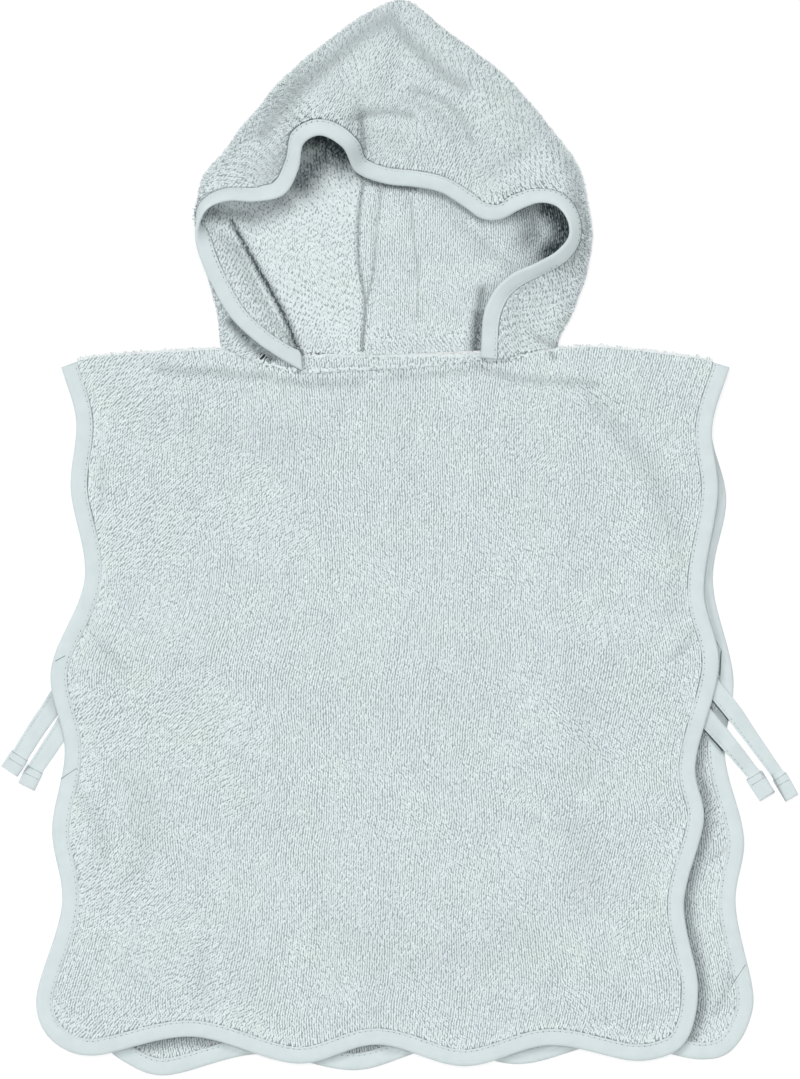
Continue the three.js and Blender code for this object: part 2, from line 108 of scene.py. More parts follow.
# %% [markdown]
# ## The waved edges
# The sides and the hem of each panel swing in and out by about a centimetre. Each row of a table
# is a crest or a valley on the outside of the binding. A side runs down from the shoulder and the
# hem runs from left to right round both rounded corners.

# %% Edge tables, columns x and y
FRONT_LEFT = [
    (-253.5, 128), (-242.5, 88.5), (-246.5, 37.5), (-236, -30), (-261.5, -100.5),
    (-251, -159), (-260.5, -219), (-253, -273), (-272.5, -348),
]
FRONT_HEM = [
    (-266, -370.5), (-250, -384), (-230.5, -388), (-156.5, -374), (-74.5, -394), (-17, -380),
    (48.5, -396), (113, -380.5), (177.5, -392), (199, -388.5), (211, -382), (219.5, -368),
]
FRONT_RIGHT = [
    (247.5, 128), (234.5, 83), (239, 36), (228.5, -41), (239.5, -93),
    (222, -172.5), (228.5, -209), (213.5, -274.5), (224, -336),
]
BACK_LEFT = [
    (-253.5, 128), (-239, 88), (-238, 35), (-221.5, -34.5), (-240.5, -107),
    (-224.5, -167), (-228.5, -229), (-215.5, -284.5), (-224.5, -360),
]
BACK_HEM = [
    (-220, -381), (-203.5, -394.5), (-179.5, -403), (-106, -387), (-32, -399), (29, -383),
    (89.5, -394.5), (158, -379), (226, -391), (243.5, -388), (254.5, -378), (262.5, -362),
]
BACK_RIGHT = [
    (247.5, 128), (234, 83), (245, 30), (235, -31.5), (250.5, -106.5),
    (244, -162), (258.5, -226.5), (252, -273), (265.5, -345),
]
SHOULDER_LEFT = [(-232, 136), (-208, 138.3), (-184, 139.8), (-158, 141.2), (-135, 141.9)]
SHOULDER_RIGHT = [(120, 142.4), (146, 144), (167, 142.5), (188, 140.3), (207, 137.8), (226, 135)]
FRONT_NECKLINE = [
    (-118, 136.4), (-103, 131.4), (-88, 127.2), (-73, 124), (-49, 125.3), (-22, 126.2),
    (23, 129), (46, 131.8), (61, 133.6), (74, 133), (95.5, 137.4), (107, 140.3),
]
BACK_NECKLINE = [(-28, 136.4)]
SHOULDER_NOSE = 1.0

# %% Bound outlines
BINDING = 12.5
EDGE_PITCH = 2.0
FINE = 40


def outline(left, hem, right):
    """Points every 2 mm along a bound edge, and the direction into the panel at each."""
    rows = left + hem + right[::-1]
    line = even(spline(rows, np.linspace(0, 1, FINE * len(rows))), EDGE_PITCH)
    along = unit(np.gradient(line, axis=0))
    return line, np.column_stack([-along[:, 1], along[:, 0]])


front_edge, front_in = outline(FRONT_LEFT, FRONT_HEM, FRONT_RIGHT)
back_edge, back_in = outline(BACK_LEFT, BACK_HEM, BACK_RIGHT)
back_left_side = back_edge[: np.argmin(back_edge[:, 0] + back_edge[:, 1])]
print("bound edge of the front:", round(len(front_edge) * EDGE_PITCH), "mm")

# %% [markdown]
# ## Where the cloth lies
# The back lies on the surface. The front lies on the back, comes down to the surface where it
# reaches out beyond the hidden left edge of the back, and rides up a little at the right where two
# ties come out from under it. These functions give the underside of each, in the CAD's own sizes.
# DROP is where the front comes down, measured from the hidden edge of the back.

# %% Levels of the two panels
FRONT_LEVEL = WALL + SEAM
DROP = (-34, -16)
TIES_RIGHT = 238.0
TIES_MIDDLE = -116.0
TIES_REACH = 46.0
TIES_DEPTH = 50.0
TIES_LIFT = 2.1


def front_under(xy):
    x, y = xy[..., 0], xy[..., 1]
    side_x = np.interp(-y, -back_left_side[:, 1], back_left_side[:, 0])
    level = FRONT_LEVEL * smoothstep(x - side_x, *DROP)
    down = np.abs(y - TIES_MIDDLE) / TIES_REACH
    across = (TIES_RIGHT - x) / TIES_DEPTH
    return level + TIES_LIFT * (1 - smoothstep(down, 0.55, 1)) * (1 - smoothstep(across, 0.6, 1))


def back_under(xy):
    return np.zeros(xy.shape[:-1])


print("front at its middle:", float(front_under(np.zeros(2))), "mm above the surface")

# %% [markdown]
# ## Creases
# Terry is thick and springy, so its creases are soft troughs and ridges and not sharp folds. Each
# row below is a line in plan, with the half width of the crease, its height (negative is a trough)
# and how much painted shade darkens the colour along it, for the shade that falls in a crease.
# Rows of height 0 are painted shadow only. A few slow ripples of uneven size are added
# everywhere, as no cloth lies perfectly flat.

# %% Creases of the panels, columns line, half width, height, painted shade
FRONT_CREASES = [
    ([(-76, 122), (-62.5, 121.5), (-49, 122.8), (-22, 124), (23, 126.5), (46, 129.5), (61, 131.5)],
     2.6, 1.3, 0),
    ([(-90, 118), (-73, 115), (-62.5, 114.5), (-30, 115)], 3.0, -1.3, 0.16),
    ([(-10, 118), (23, 121), (50, 124)], 3.0, -0.8, 0.08),
    ([(-180, 126), (-150, 124), (-126, 122), (-98, 121)], 3.6, -1.8, 0.2),
    ([(-186, 118), (-150, 116), (-110, 113)], 6.0, 1.2, 0),
    ([(57, 129), (77, 122.5), (92, 118.5), (120, 117), (146, 115)], 3.4, -1.6, 0.2),
    ([(60, 122), (80, 115), (104, 109)], 4.5, 1.0, 0),
    ([(110, 147), (112, 142), (116, 135)], 2.0, -1.4, 0.35),
    ([(-224.5, 60), (-222.5, 43), (-224, 22)], 2.5, -1.1, 0.1),
    ([(-214, 118), (-205, 92), (-203, 64)], 9.0, 1.0, 0),
    ([(-233, -60), (-222, -84), (-205, -98)], 4.0, -1.1, 0.1),
    ([(-238, -196), (-225, -214), (-222, -240)], 5.0, -1.0, 0.08),
    ([(-180, 90), (-120, 70), (-60, 74)], 14.0, -0.9, 0.03),
    ([(144, 104), (160, 84), (182, 56), (194, 38), (204, 6)], 7.0, -1.1, 0.1),
    ([(162, 110), (178, 76), (190, 60)], 6.0, 1.0, 0),
    ([(206, 20), (210, -20), (200, -60)], 7.0, -0.9, 0.06),
    ([(222, -66), (214, -82), (204, -90)], 3.0, -1.2, 0.14),
    ([(138, -120), (141, -150), (136, -180)], 9.0, -0.9, 0.05),
    ([(196, -150), (188, -190), (196, -226)], 8.0, 0.9, 0),
    ([(-40, -300), (30, -318), (96, -300)], 20.0, -0.9, 0.04),
    ([(-194, -190), (-190, -222), (-196, -250)], 12.0, -0.8, 0.06),
    ([(134, -220), (142, -246), (138, -270)], 12.0, -0.8, 0.05),
    ([(-150, -352), (-146, -330), (-152, -312)], 5.0, -1.0, 0.05),
    ([(-18, -362), (-12, -342), (-16, -322)], 5.0, -0.9, 0.04),
    ([(113, -362), (110, -344), (116, -326)], 5.0, -0.9, 0.04),
]
BACK_CREASES_AND_SHADE = [
    ([(245.5, -232.5), (239, -238), (230, -241)], 1.6, -1.0, 0.2),
    ([(238, -150), (232, -182), (236, -214)], 5.0, 0.8, 0),
    ([(248, -328), (243, -344), (236, -356)], 3.0, -1.0, 0.15),
    ([(-150, -60), (-60, -90), (40, -70)], 18.0, -0.5, 0),
    ([(-40, 110), (-30, 40), (-36, -30)], 16.0, 0.5, 0),
    ([(90, -160), (130, -220), (120, -290)], 14.0, -0.6, 0),
]

# %% Creases of the hood, columns line, half width, height, painted shade
HOOD_CREASES = [
    ([(-6.5, 390), (-23, 382), (-42, 366), (-58, 352), (-75, 337), (-91, 320), (-103, 303)], 6.5, -2.6, 0.3),
    ([(-5, 388), (6, 374), (19, 362), (35, 348), (48, 339)], 5.5, -2.4, 0.26),
    ([(-8, 380), (-16, 350), (-28, 326)], 10.0, 1.8, 0),
    ([(-38, 312), (-26, 316), (-6, 319), (10, 316)], 2.8, -1.7, 0.24),
    ([(-40, 318), (-20, 325), (6, 326)], 5.0, 1.3, 0),
    ([(9, 335), (26, 330), (38, 323), (46, 313), (54, 297)], 3.0, -1.6, 0.2),
    ([(2, 328), (20, 322), (34, 312), (40, 298)], 3.0, -1.2, 0.12),
    ([(20, 338), (44, 332), (58, 312)], 5.0, 1.1, 0),
    ([(-33, 312), (-29, 300), (-23, 290)], 8.0, 1.6, 0),
    ([(-28, 303), (-8, 306), (14, 300), (30, 288)], 7.0, 0.9, 0),
    ([(80, 256), (104, 270), (124, 281)], 7.0, 1.5, 0),
    ([(70, 272), (92, 290), (104, 305)], 6.0, -1.4, 0.08),
    ([(-90, 286), (-97, 276), (-104, 262)], 9.0, -1.4, 0.16),
    ([(-98, 300), (-112, 292), (-118, 280)], 5.0, 1.2, 0),
    ([(80, 186), (95, 194), (112, 203), (127, 213)], 5.0, -1.4, 0.34),
    ([(104, 200), (118, 186), (121, 168)], 6.0, 1.2, 0),
    ([(84, 180), (90, 166), (88, 150)], 4.0, -0.8, 0.06),
    # painted shadow beneath the turned-out flank's free edge, over a shallow trough
    ([(-126, 162), (-110, 145), (-92, 132), (-80, 126)], 4.0, -0.8, 0.8),
    ([(104, 150), (112, 146), (118, 144)], 3.0, -0.6, 0.3),
]
FLOOR_CREASES_AND_SHADE = [
    ([(-22, 300), (-27, 265), (-30, 245), (-31, 223), (-30, 202), (-26, 178), (-26.5, 158), (-28, 141)],
     1.5, -1.8, 0.6),
    ([(-20, 300), (-20, 267), (-23, 240), (-23.5, 205), (-24, 176)], 3.4, 1.2, 0),
    ([(-14, 262), (-16, 240), (-18, 215), (-21, 192), (-25, 176)], 1.1, -1.2, 0.45),
    ([(8, 256), (10, 238), (11, 223), (14, 198), (13, 166)], 1.1, -1.0, 0.3),
    ([(2, 262), (3, 226), (6, 200), (6, 172)], 5.0, 0.8, 0),
    ([(29, 258), (50, 232), (66, 214)], 7.0, -0.8, 0.1),
    ([(61, 222), (72, 212), (84, 205)], 4.0, -0.8, 0.14),
    ([(-60, 150), (-20, 146), (40, 147), (60, 152)], 5.0, 0.8, 0),
    ([(-62, 262), (-70, 230), (-62, 200)], 10.0, 0.8, 0),
    ([(-126, 238), (-107, 203.5), (-95, 183), (-87, 168), (-78, 146), (-74, 131)], 2.8, -1.4, 0.85),
    ([(62, 186), (59.5, 172), (58, 156)], 4.1, -0.5, 0.5),
    # Rows of height 0 from here on are painted shadow under the hood's rim: in the arch and beside it, in
    # the right loop and below the face edge.
    ([(59, 168), (58, 156), (57, 142)], 4.6, 0, 0.8),
    ([(-146, 243), (-130, 243), (-112, 241)], 7.0, 0, 0.6),
    ([(-112, 241), (-98, 246), (-86, 252)], 9.0, 0, 0.5),
    ([(-66, 302), (-54, 298), (-44, 288)], 14.0, 0, 1.0),
    ([(-56, 288), (-64, 278), (-73, 266)], 12.0, 0, 0.8),
    ([(110, 248), (121, 238), (122, 224), (113, 214)], 12.0, 0, 0.92),
    ([(86, 250), (98, 240), (98, 224)], 12.0, 0, 0.55),
    ([(-32, 273), (-20, 267), (-5, 264), (12, 261.5)], 2.4, 0, 0.72),
    ([(12, 261.5), (30, 257), (47, 247), (62, 237)], 2.4, 0, 0.36),
]


# the fourth column of a crease row is its painted shade
HEIGHT, PAINTED_SHADE = 2, 3


def bands(xy, rows, column):
    """A soft band for each crease, as strong as one column of its row says."""
    found = [np.zeros(xy.shape[:-1])]
    for row in rows:
        if row[column]:
            line = spline(row[0], np.linspace(0, 1, 12 * len(row[0])))
            close = np.min([((xy - point) ** 2).sum(axis=-1) for point in line], axis=0)
            found.append(row[column] * np.exp(-close / row[1] ** 2))
    return np.array(found)


def creases(xy, rows):
    """What all the creases together add to the height at each place."""
    return bands(xy, rows, HEIGHT).sum(axis=0)


def painted_shade_at(xy, rows):
    """How much shade is painted at each place, from the strongest crease or shadow row there."""
    return bands(xy, rows, PAINTED_SHADE).max(axis=0)


def ripples(xy, size, seed):
    """A slow uneven wave between about -1 and 1, with hollows about one size apart."""
    draw = np.random.default_rng(seed)
    total = np.zeros(xy.shape[:-1])
    for _ in range(6):
        turn = draw.uniform(0, 2 * math.pi)
        wave = 2 * math.pi / (size * draw.uniform(0.7, 1.6))
        total += np.sin(wave * (xy @ [math.cos(turn), math.sin(turn)]) + draw.uniform(0, 7))
    return total / 3


print("creases by hand:", len(FRONT_CREASES + BACK_CREASES_AND_SHADE + HOOD_CREASES + FLOOR_CREASES_AND_SHADE))

# %% [markdown]
# ## A grid that becomes a cloth
# Every piece of cloth here starts as bmesh's grid. Its vertices are then laid out on a table of
# places, one for each row and column of the grid. That keeps the faces in tidy rows, which the
# pile and the stitches follow later. Doubles are merged where the grid closes on itself, open ends
# are filled and the normals are worked out again, because rolling a grid up can turn it inside out.

# %% Grid helpers
def grid_mesh(places):
    """A bmesh grid with a vertex at every place of a rows x columns table, in metres."""
    rows, columns = places.shape[:2]
    bm = bmesh.new()
    bmesh.ops.create_grid(bm, x_segments=columns - 1, y_segments=rows - 1, size=1)
    for vert in bm.verts:
        column = round((vert.co.x + 1) / 2 * (columns - 1))
        row = round((1 - vert.co.y) / 2 * (rows - 1))
        vert.co = places[row, column] * MM
    return bm


def show(name, mesh):
    """Makes an object of a mesh, shaded smooth, and rides it on the part."""
    mesh.shade_smooth()
    piece = bpy.data.objects.new(name, mesh)
    bpy.context.scene.collection.objects.link(piece)
    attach(piece, "root")
    print(name, len(mesh.polygons), "faces")
    return piece


def add_piece(name, bm, node=None):
    """Makes an object of the bmesh, and lets it stand for a CAD node if one is named."""
    mesh = bpy.data.meshes.new(name)
    bm.to_mesh(mesh)
    bm.free()
    piece = show(name, mesh)
    if node:
        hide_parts(node)
    return piece


def close_up(bm):
    """Merges doubles, fills open ends and points the faces outwards."""
    bmesh.ops.remove_doubles(bm, verts=bm.verts, dist=1e-6)
    open_edges = [edge for edge in bm.edges if edge.is_boundary]
    bmesh.ops.holes_fill(bm, edges=open_edges, sides=0)
    bmesh.ops.recalc_face_normals(bm, faces=bm.faces)
    return bm


# %% [markdown]
# ## The two terry panels
# A panel has four sides: two waved ones, the hem and the shoulder line. A Coons patch spreads the
# grid between them, so its rows bend with the hem and its columns with the sides. The rows are
# closer together at the top, where the cloth is turned down over the shoulder. The grid is later
# extruded down to the underside, which is flat where it rests.

# %% Panel grids
COLUMNS, ROWS = 122, 140
ROLL_ROWS, ROLL_PITCH = 14, 1.3


def mix(a, b, share):
    return a + (b - a) * share


def by_axis(line, axis, wanted):
    """The points of a line at the wanted values of one coordinate."""
    order = np.argsort(line[:, axis])
    other = np.interp(wanted, line[order, axis], line[order, 1 - axis])
    return np.column_stack([wanted, other] if axis == 0 else [other, wanted])


def panel_plan(edge, inward, neckline):
    """Plan of a panel's grid, inside its binding."""
    inner = edge + inward * (BINDING + SEAM)
    low_left = np.argmin(inner[:, 0] + inner[:, 1])
    low_right = np.argmax(inner[:, 0] - inner[:, 1])
    shoulder = [(x, y - SHOULDER_NOSE) for x, y in SHOULDER_LEFT + neckline + SHOULDER_RIGHT]
    shoulder = [inner[0], *shoulder, inner[-1]]
    across = np.linspace(0, 1, COLUMNS)
    near_top = np.arange(ROLL_ROWS) * ROLL_PITCH
    height = inner[0, 1] - inner[low_left, 1]
    below = np.linspace(near_top[-1], height, ROWS - ROLL_ROWS + 1)[1:]
    down = np.concatenate([near_top, below]) / height
    corners = inner[0], inner[-1], inner[low_left], inner[low_right]
    top = by_axis(spline(shoulder, np.linspace(0, 1, 900)), 0, mix(corners[0][0], corners[1][0], across))
    hem = by_axis(inner[low_left : low_right + 1], 0, mix(corners[2][0], corners[3][0], across))
    left = by_axis(inner[: low_left + 1], 1, mix(corners[0][1], corners[2][1], down))
    right = by_axis(inner[low_right:], 1, mix(corners[1][1], corners[3][1], down))
    u, v = across[None, :, None], down[:, None, None]
    flat = mix(mix(corners[0], corners[1], u), mix(corners[2], corners[3], u), v)
    return mix(top[None], hem[None], v) + mix(left[:, None], right[:, None], u) - flat


front_plan = panel_plan(front_edge, front_in, FRONT_NECKLINE)
back_plan = panel_plan(back_edge, back_in, BACK_NECKLINE)
print("grid of a panel:", front_plan.shape[:2])

# %% [markdown]
# The woven cloth lies 0.9 mm below the height of the solid, and the pile fills that. Beside the
# binding the cloth is gathered by the stitches into small puckers, and along the top it turns down
# over the shoulder. The creases and two sizes of ripple are added to that.

# %% Upper faces of the panels
PILE_DEPTH = 0.9
PUCKER, PUCKER_REACH, PUCKER_PITCH = 0.3, 9, 2.1
TURN_DEPTH, TURN_REACH = 1.6, 1.2


def panel_top(plan, under, rows, seed):
    """The upper face of the woven cloth, below the tips of its pile."""
    width = length(plan[:, -1] - plan[:, 0])[:, None]
    order = np.arange(COLUMNS)
    from_side = np.minimum(order, order[::-1])[None] * width / (COLUMNS - 1)
    from_top = plan[0, :, 1][None] - plan[..., 1]
    puckers = np.sin(plan[..., 1] / PUCKER_PITCH + 3 * ripples(plan, 60, seed + 1))
    puckers = PUCKER * np.exp(-from_side / PUCKER_REACH) * puckers
    turned = -TURN_DEPTH * np.exp(-((from_top / TURN_REACH) ** 2))
    relief = creases(plan, rows) + 0.5 * ripples(plan, 90, seed) + 0.22 * ripples(plan, 24, seed + 2)
    return np.dstack([plan, under(plan) + WALL - PILE_DEPTH + relief + puckers + turned])


def thicken(places, under):
    """A closed cloth from its upper face, with its underside at the level that under gives."""
    bm = grid_mesh(places)
    upper = list(bm.faces)
    lower = bmesh.ops.extrude_face_region(bm, geom=upper, use_keep_orig=True)["geom"]
    for item in lower:
        if isinstance(item, bmesh.types.BMVert):
            spot = np.array(item.co[:2]) / MM
            item.co.z = float(under(spot)) * MM
    bmesh.ops.recalc_face_normals(bm, faces=bm.faces)
    return bm


front_top = panel_top(front_plan, front_under, FRONT_CREASES, 3)
back_top = panel_top(back_plan, back_under, BACK_CREASES_AND_SHADE, 8)
front_cloth = add_piece("front_cloth", thicken(front_top, front_under), "front_panel")
back_cloth = add_piece("back_cloth", thicken(back_top, back_under), "back_panel")

# %% [markdown]
# ## Bias binding
# Bias tape is folded over the raw edge and stitched through near its inner fold. Seen close it
# isn't flat: it is fullest in the middle, dips along the stitches and ends in a thin lip. That
# section is carried along the edge, and its height varies a little, as the tape is eased round
# the waves.

# %% Sweep a tape along an edge
UP = np.array([0.0, 0.0, 1.0])
STITCH_DEPTH = 10.7
TAPE_SECTION = [
    (BINDING, 0.2), (BINDING, 2.55), (12.0, 2.95), (11.3, 2.95), (STITCH_DEPTH, 2.7), (10.0, 2.95),
    (8.5, 3.1), (5.5, 3.15), (2.8, 3.05), (1.2, 2.8), (0.4, 2.2), (0, 1.5), (0.4, 0.7), (1.2, 0),
    (6, 0), (12, 0),
]


def sweep(start, across, out, section, middle=0.0, ease=0.1):
    """Rings of a section whose first number runs across the tape and whose second is its height."""
    section = np.array(section + section[:1], float)
    run = np.arange(len(start))[:, None] * EDGE_PITCH
    wave = np.sin(run / 5.3) * np.sin(run / 17 + 1) + 0.6 * np.sin(run / 3.1 + 2)
    heights = section[:, 1] + ease * wave * (section[:, 1] > 1.6) * np.sin(section[:, 0] / 4)
    places = start[:, None] + across[:, None] * section[None, :, :1]
    return places + out[:, None] * (heights - middle)[..., None]


def flat_tape(edge, inward, under):
    """Rings of the binding of a panel, lying level at every point."""
    rings = sweep(
        np.column_stack([edge, np.zeros(len(edge))]),
        np.column_stack([inward, np.zeros(len(edge))]),
        np.tile(UP, (len(edge), 1)),
        TAPE_SECTION,
    )
    rings[..., 2] += under(rings[..., :2])
    return rings


front_tape_rings = flat_tape(front_edge, front_in, front_under)
back_tape_rings = flat_tape(back_edge, back_in, back_under)
front_tape = add_piece("front_tape", close_up(grid_mesh(front_tape_rings)), "front_binding")
back_tape = add_piece("back_tape", close_up(grid_mesh(back_tape_rings)), "back_binding")

# %% [markdown]
# ## The hood
# The hood is one piece of terry, folded over its tip and joined down the middle of the back. It
# lies with its back on the surface and its face edge standing up in a wavy rim. Ribs describe it:
# each goes from the face edge over the crown to the fold at the side, and under the hood to the
# centre seam. The left flank is turned out, so there the rib comes back under the face edge.

# %% Ribs: face x y z, band x y z, crown x y z, fold x y, foot
RIBS = [
    (-72.5, 125, 7.4, -73.5, 135, 7.8, -103, 133, 4.8, -133, 142.5, 60),
    (-87.5, 133.5, 9, -79, 142, 9.6, -107.5, 139.5, 5, -134, 148, 56),
    (-107.5, 147, 10.2, -96.5, 154.5, 11.4, -121, 148, 5.2, -134.5, 155, 51),
    (-127, 166, 11.7, -114.5, 172, 13.2, -128.5, 165, 5.2, -135.5, 165, 46),
    (-142.5, 193.5, 13, -132.5, 199, 14.5, -139, 192, 5.2, -141.5, 191, 38),
    (-151, 214.5, 15.5, -141.5, 219.5, 14.5, -145.5, 215, 5.2, -147.5, 214.5, 33),
    (-153, 226.5, 18.5, -145.5, 230, 10.5, -149, 226.5, 5.4, -151, 226.5, 29),
    (-149.5, 238, 20.5, -151.5, 240, 8, -152, 238.5, 5.6, -152.5, 238.5, 23),
    (-143.5, 247, 21, -148, 251, 10.5, -150.5, 250, 6.2, -152, 250, 12),
    (-129.5, 252.5, 20, -131, 260, 12.5, -140, 267, 9, -146.5, 271, 7),
    (-107.5, 252, 17, -106, 260, 12, -121, 284, 11.5, -130, 291, 5),
    (-86.5, 257, 18, -94, 266, 15, -107, 303, 13.5, -117.5, 308, 4),
    (-75.5, 276, 24, -84, 283.5, 22, -95.5, 318, 15.5, -104, 324, 4),
    (-71.5, 295, 30, -79, 303, 29, -84, 332, 17, -91, 340, 4),
    (-59.5, 301, 34, -61, 313, 33, -70, 344, 18, -72.5, 357, 4),
    (-43, 292.5, 31, -34, 298, 29, -42, 353, 17.5, -44.5, 379, 4),
    (-32.5, 274, 15.5, -26.5, 283, 15, -25, 352, 16.5, -21.5, 394.5, 4),
    (-11, 265.5, 9.6, -9.5, 278, 10.5, -2.5, 349, 16, 2, 403, 4),
    (11.5, 263, 9.4, 14, 276, 11, 14, 351, 16, 15.5, 396, 4),
    (30.5, 259, 9.3, 35.5, 269, 11.5, 30.5, 346, 16, 30.5, 383, 4),
    (47, 249, 9.2, 53.5, 259.5, 11.5, 47.5, 336, 16, 48.5, 370, 4),
    (62, 239, 9.2, 65.5, 250.5, 11, 64, 322, 16, 66.5, 356, 4),
    (75.5, 238.5, 9.8, 75.5, 247.5, 12, 79, 309, 15, 81.5, 343.5, 4),
    (90.5, 246, 14.5, 86, 254, 13, 93, 295, 13.5, 98, 325, 4),
    (105.5, 251, 21, 102.5, 259.5, 16, 112, 283, 12.5, 121.5, 296, 4),
    (118, 248, 25, 122, 256, 18, 127, 266, 12.5, 134.5, 276, 4),
    (125.5, 238.5, 27, 132, 243, 19, 135, 247, 12, 140.5, 251, 4),
    (127, 226.5, 27, 133, 223.5, 19, 138, 226, 12, 144, 226.5, 4),
    (118, 215, 25, 124, 209, 18, 133.5, 207.5, 11, 141.5, 207, 4),
    (101.5, 205.5, 23, 106.5, 200, 17, 122, 193, 10.5, 137, 190.5, 4),
    (84.5, 198, 21, 89.5, 191, 16, 112, 179.5, 10, 131.5, 175.5, 4),
    (71, 185.5, 18, 79, 181.5, 14.5, 103, 167, 9.5, 126.5, 163.5, 4),
    (63.5, 169.5, 14.5, 74.5, 167, 13, 97, 158, 9, 121, 154, 4),
    (61.5, 151, 10.5, 73, 149, 10.5, 94, 147, 8, 118.5, 147, 4),
    (61, 135, 8, 72.5, 134, 8, 94, 139, 6.6, 118, 143, 4),
]
TIP_RIB = 17
CENTRE_SEAM = [
    (-28, 137), (-26.5, 154), (-28, 182), (-29.5, 226), (-24.5, 267), (-20.5, 313.5), (-11, 358.5), (1, 391),
]

# %% Lines of the hood
RIB_STEPS = 7
FACE_SEAM = 0.45
FOLD_LEVEL = WALL - 0.2


def with_z(plan, z):
    return np.column_stack([plan[:, :2], np.broadcast_to(z, len(plan))])


def hood_lines(steps):
    """Smooth lines along the hood: face edge, band direction, crown, side fold, foot and seam."""
    table = np.array(RIBS)
    share = np.linspace(0, 1, (len(table) - 1) * steps + 1)
    face, band, crown, fold = (spline(table[:, k : k + 3], share) for k in (0, 3, 6, 9))
    last = len(face) - 1
    along = face[np.minimum(np.arange(last + 1) + steps // 2 + 1, last)]
    along = along - face[np.maximum(np.arange(last + 1) - steps // 2 - 1, 0)]
    across = unit(band - face)
    out = unit(np.cross(along, across))
    tip = TIP_RIB * steps
    pair = np.minimum(np.arange(last + 1), last - np.arange(last + 1))
    mean_y = (fold[pair, 1] + fold[last - pair, 1]) / 2
    rise = np.clip((mean_y - mean_y[0]) / (mean_y[tip] - mean_y[0]), 0, 1)
    seam_line = even(spline(CENTRE_SEAM, np.linspace(0, 1, 400)), 0.5)
    seam = read_off(rise, np.linspace(0, 1, len(seam_line)), seam_line)
    return face, across, out, crown, fold, seam


face, across, out, crown, fold, seam = hood_lines(RIB_STEPS)
print("face edge of the hood:", round(float(length(np.diff(face, axis=0)).sum())), "mm")

# %% [markdown]
# A rib's foot is how far the wall of its side reaches in over the back. Where the foot is 20 mm or
# longer the flank is turned out, and its wall comes straight down from the face edge. Where it is
# 5 mm or shorter, the wall keeps one thickness below the crown.

# %% Skins of the hood
UPPER_SPANS = [20, 14, 3, 3]
WALL_SPANS = [18, 12]
UNDER_COLUMNS = 9
BACK_COLUMNS = 44
TURNED_OUT = (5, 20)


def line_through(knots, counts):
    """Rows of places along smooth lines, one line for each station, with so many in each span."""
    spans = len(knots) - 1
    share = np.concatenate([np.arange(n) / n + i for i, n in enumerate(counts)] + [[spans]]) / spans
    lines = [spline([knot[i] for knot in knots], share) for i in range(len(knots[0]))]
    return np.array(lines)


def hood_outer():
    """The outside: from the face edge over the crown to the side fold, and the underside."""
    turned = smoothstep(fold[:, 2], *TURNED_OUT)
    start = face + across * (BINDING + FACE_SEAM) + out * (WALL / 2 + SEAM * turned)[:, None]
    inwards = unit(with_z(seam, 0) - with_z(fold, 0))
    approach = with_z(crown - fold, 0)
    slack = np.minimum(WALL, length(approach) / 2)
    shoulder = with_z(with_z(fold, 0) + unit(approach) * slack[:, None], 2 * FOLD_LEVEL)
    side = with_z(fold, FOLD_LEVEL)
    below = with_z(with_z(fold, 0) + inwards * WALL, 0)
    upper = line_through([start, crown, shoulder, side, below], UPPER_SPANS)
    under = np.linspace(upper[:, -1], with_z(seam, 0), UNDER_COLUMNS, axis=1)
    return upper, under[:, 1:]


def hood_inner():
    """The inside: the wall from the face edge down to its foot, and the back that shows there."""
    foot = fold[:, 2]
    start = face + across * (BINDING + FACE_SEAM) - out * WALL / 2
    inwards = unit(with_z(seam, 0) - with_z(fold, 0))
    foot_point = with_z(with_z(fold, 0) + inwards * foot[:, None], WALL)
    down = crown - with_z(fold, FOLD_LEVEL)
    run = length(down[:, :2])
    lean = unit(with_z(down, 0)) * down[:, 2:] - UP * run[:, None]
    inner = crown + lean * (WALL / np.hypot(run, down[:, 2]))[:, None]
    turned = smoothstep(foot, *TURNED_OUT)[:, None]
    low = with_z(start + (foot_point - start) * 0.55, start[:, 2] * 0.55 + WALL * 0.6)
    wall = line_through([start, inner + (low - inner) * turned, foot_point], WALL_SPANS)
    back = np.linspace(wall[:, -1], with_z(seam, WALL), BACK_COLUMNS, axis=1)
    return wall, back[:, 1:]


outer, underside = hood_outer()
inner, hood_back = hood_inner()
print("grid of the hood's outside:", outer.shape[:2], "and of its inside:", inner.shape[:2])

# %% [markdown]
# The crown gets its creases, and the floor of the hood shows the inside of the back: the seam up
# the middle with its allowance pressed to one side, and a soft fold beside it. Both fade out where
# the cloth turns round the fold at the side.

# %% Creases of the hood
fade_in, fade_out = np.linspace(0, 1, 6), np.linspace(1, 0, 8)
crown_share = np.concatenate([fade_in, np.ones(20), fade_out, np.zeros(7)])
relief = creases(outer[..., :2], HOOD_CREASES) + 0.5 * ripples(outer[..., :2], 46, 5)
outer[..., 2] += relief * crown_share
back_share = np.concatenate([fade_in, np.ones(hood_back.shape[1] - len(fade_in))])
hood_back[..., 2] += creases(hood_back[..., :2], FLOOR_CREASES_AND_SHADE) * back_share
hood_places = np.concatenate([underside[:, ::-1], outer[:, ::-1], inner, hood_back], axis=1)
hood_cloth = add_piece("hood_cloth", close_up(grid_mesh(hood_places)), "hood")

# %% Face binding
HOOD_SECTION = TAPE_SECTION[1:12] + [(depth, WALL - height) for depth, height in TAPE_SECTION[10:0:-1]]
hood_tape_rings = sweep(face, across, out, HOOD_SECTION, middle=WALL / 2)
hood_tape = add_piece("hood_tape", close_up(grid_mesh(hood_tape_rings)), "hood_binding")
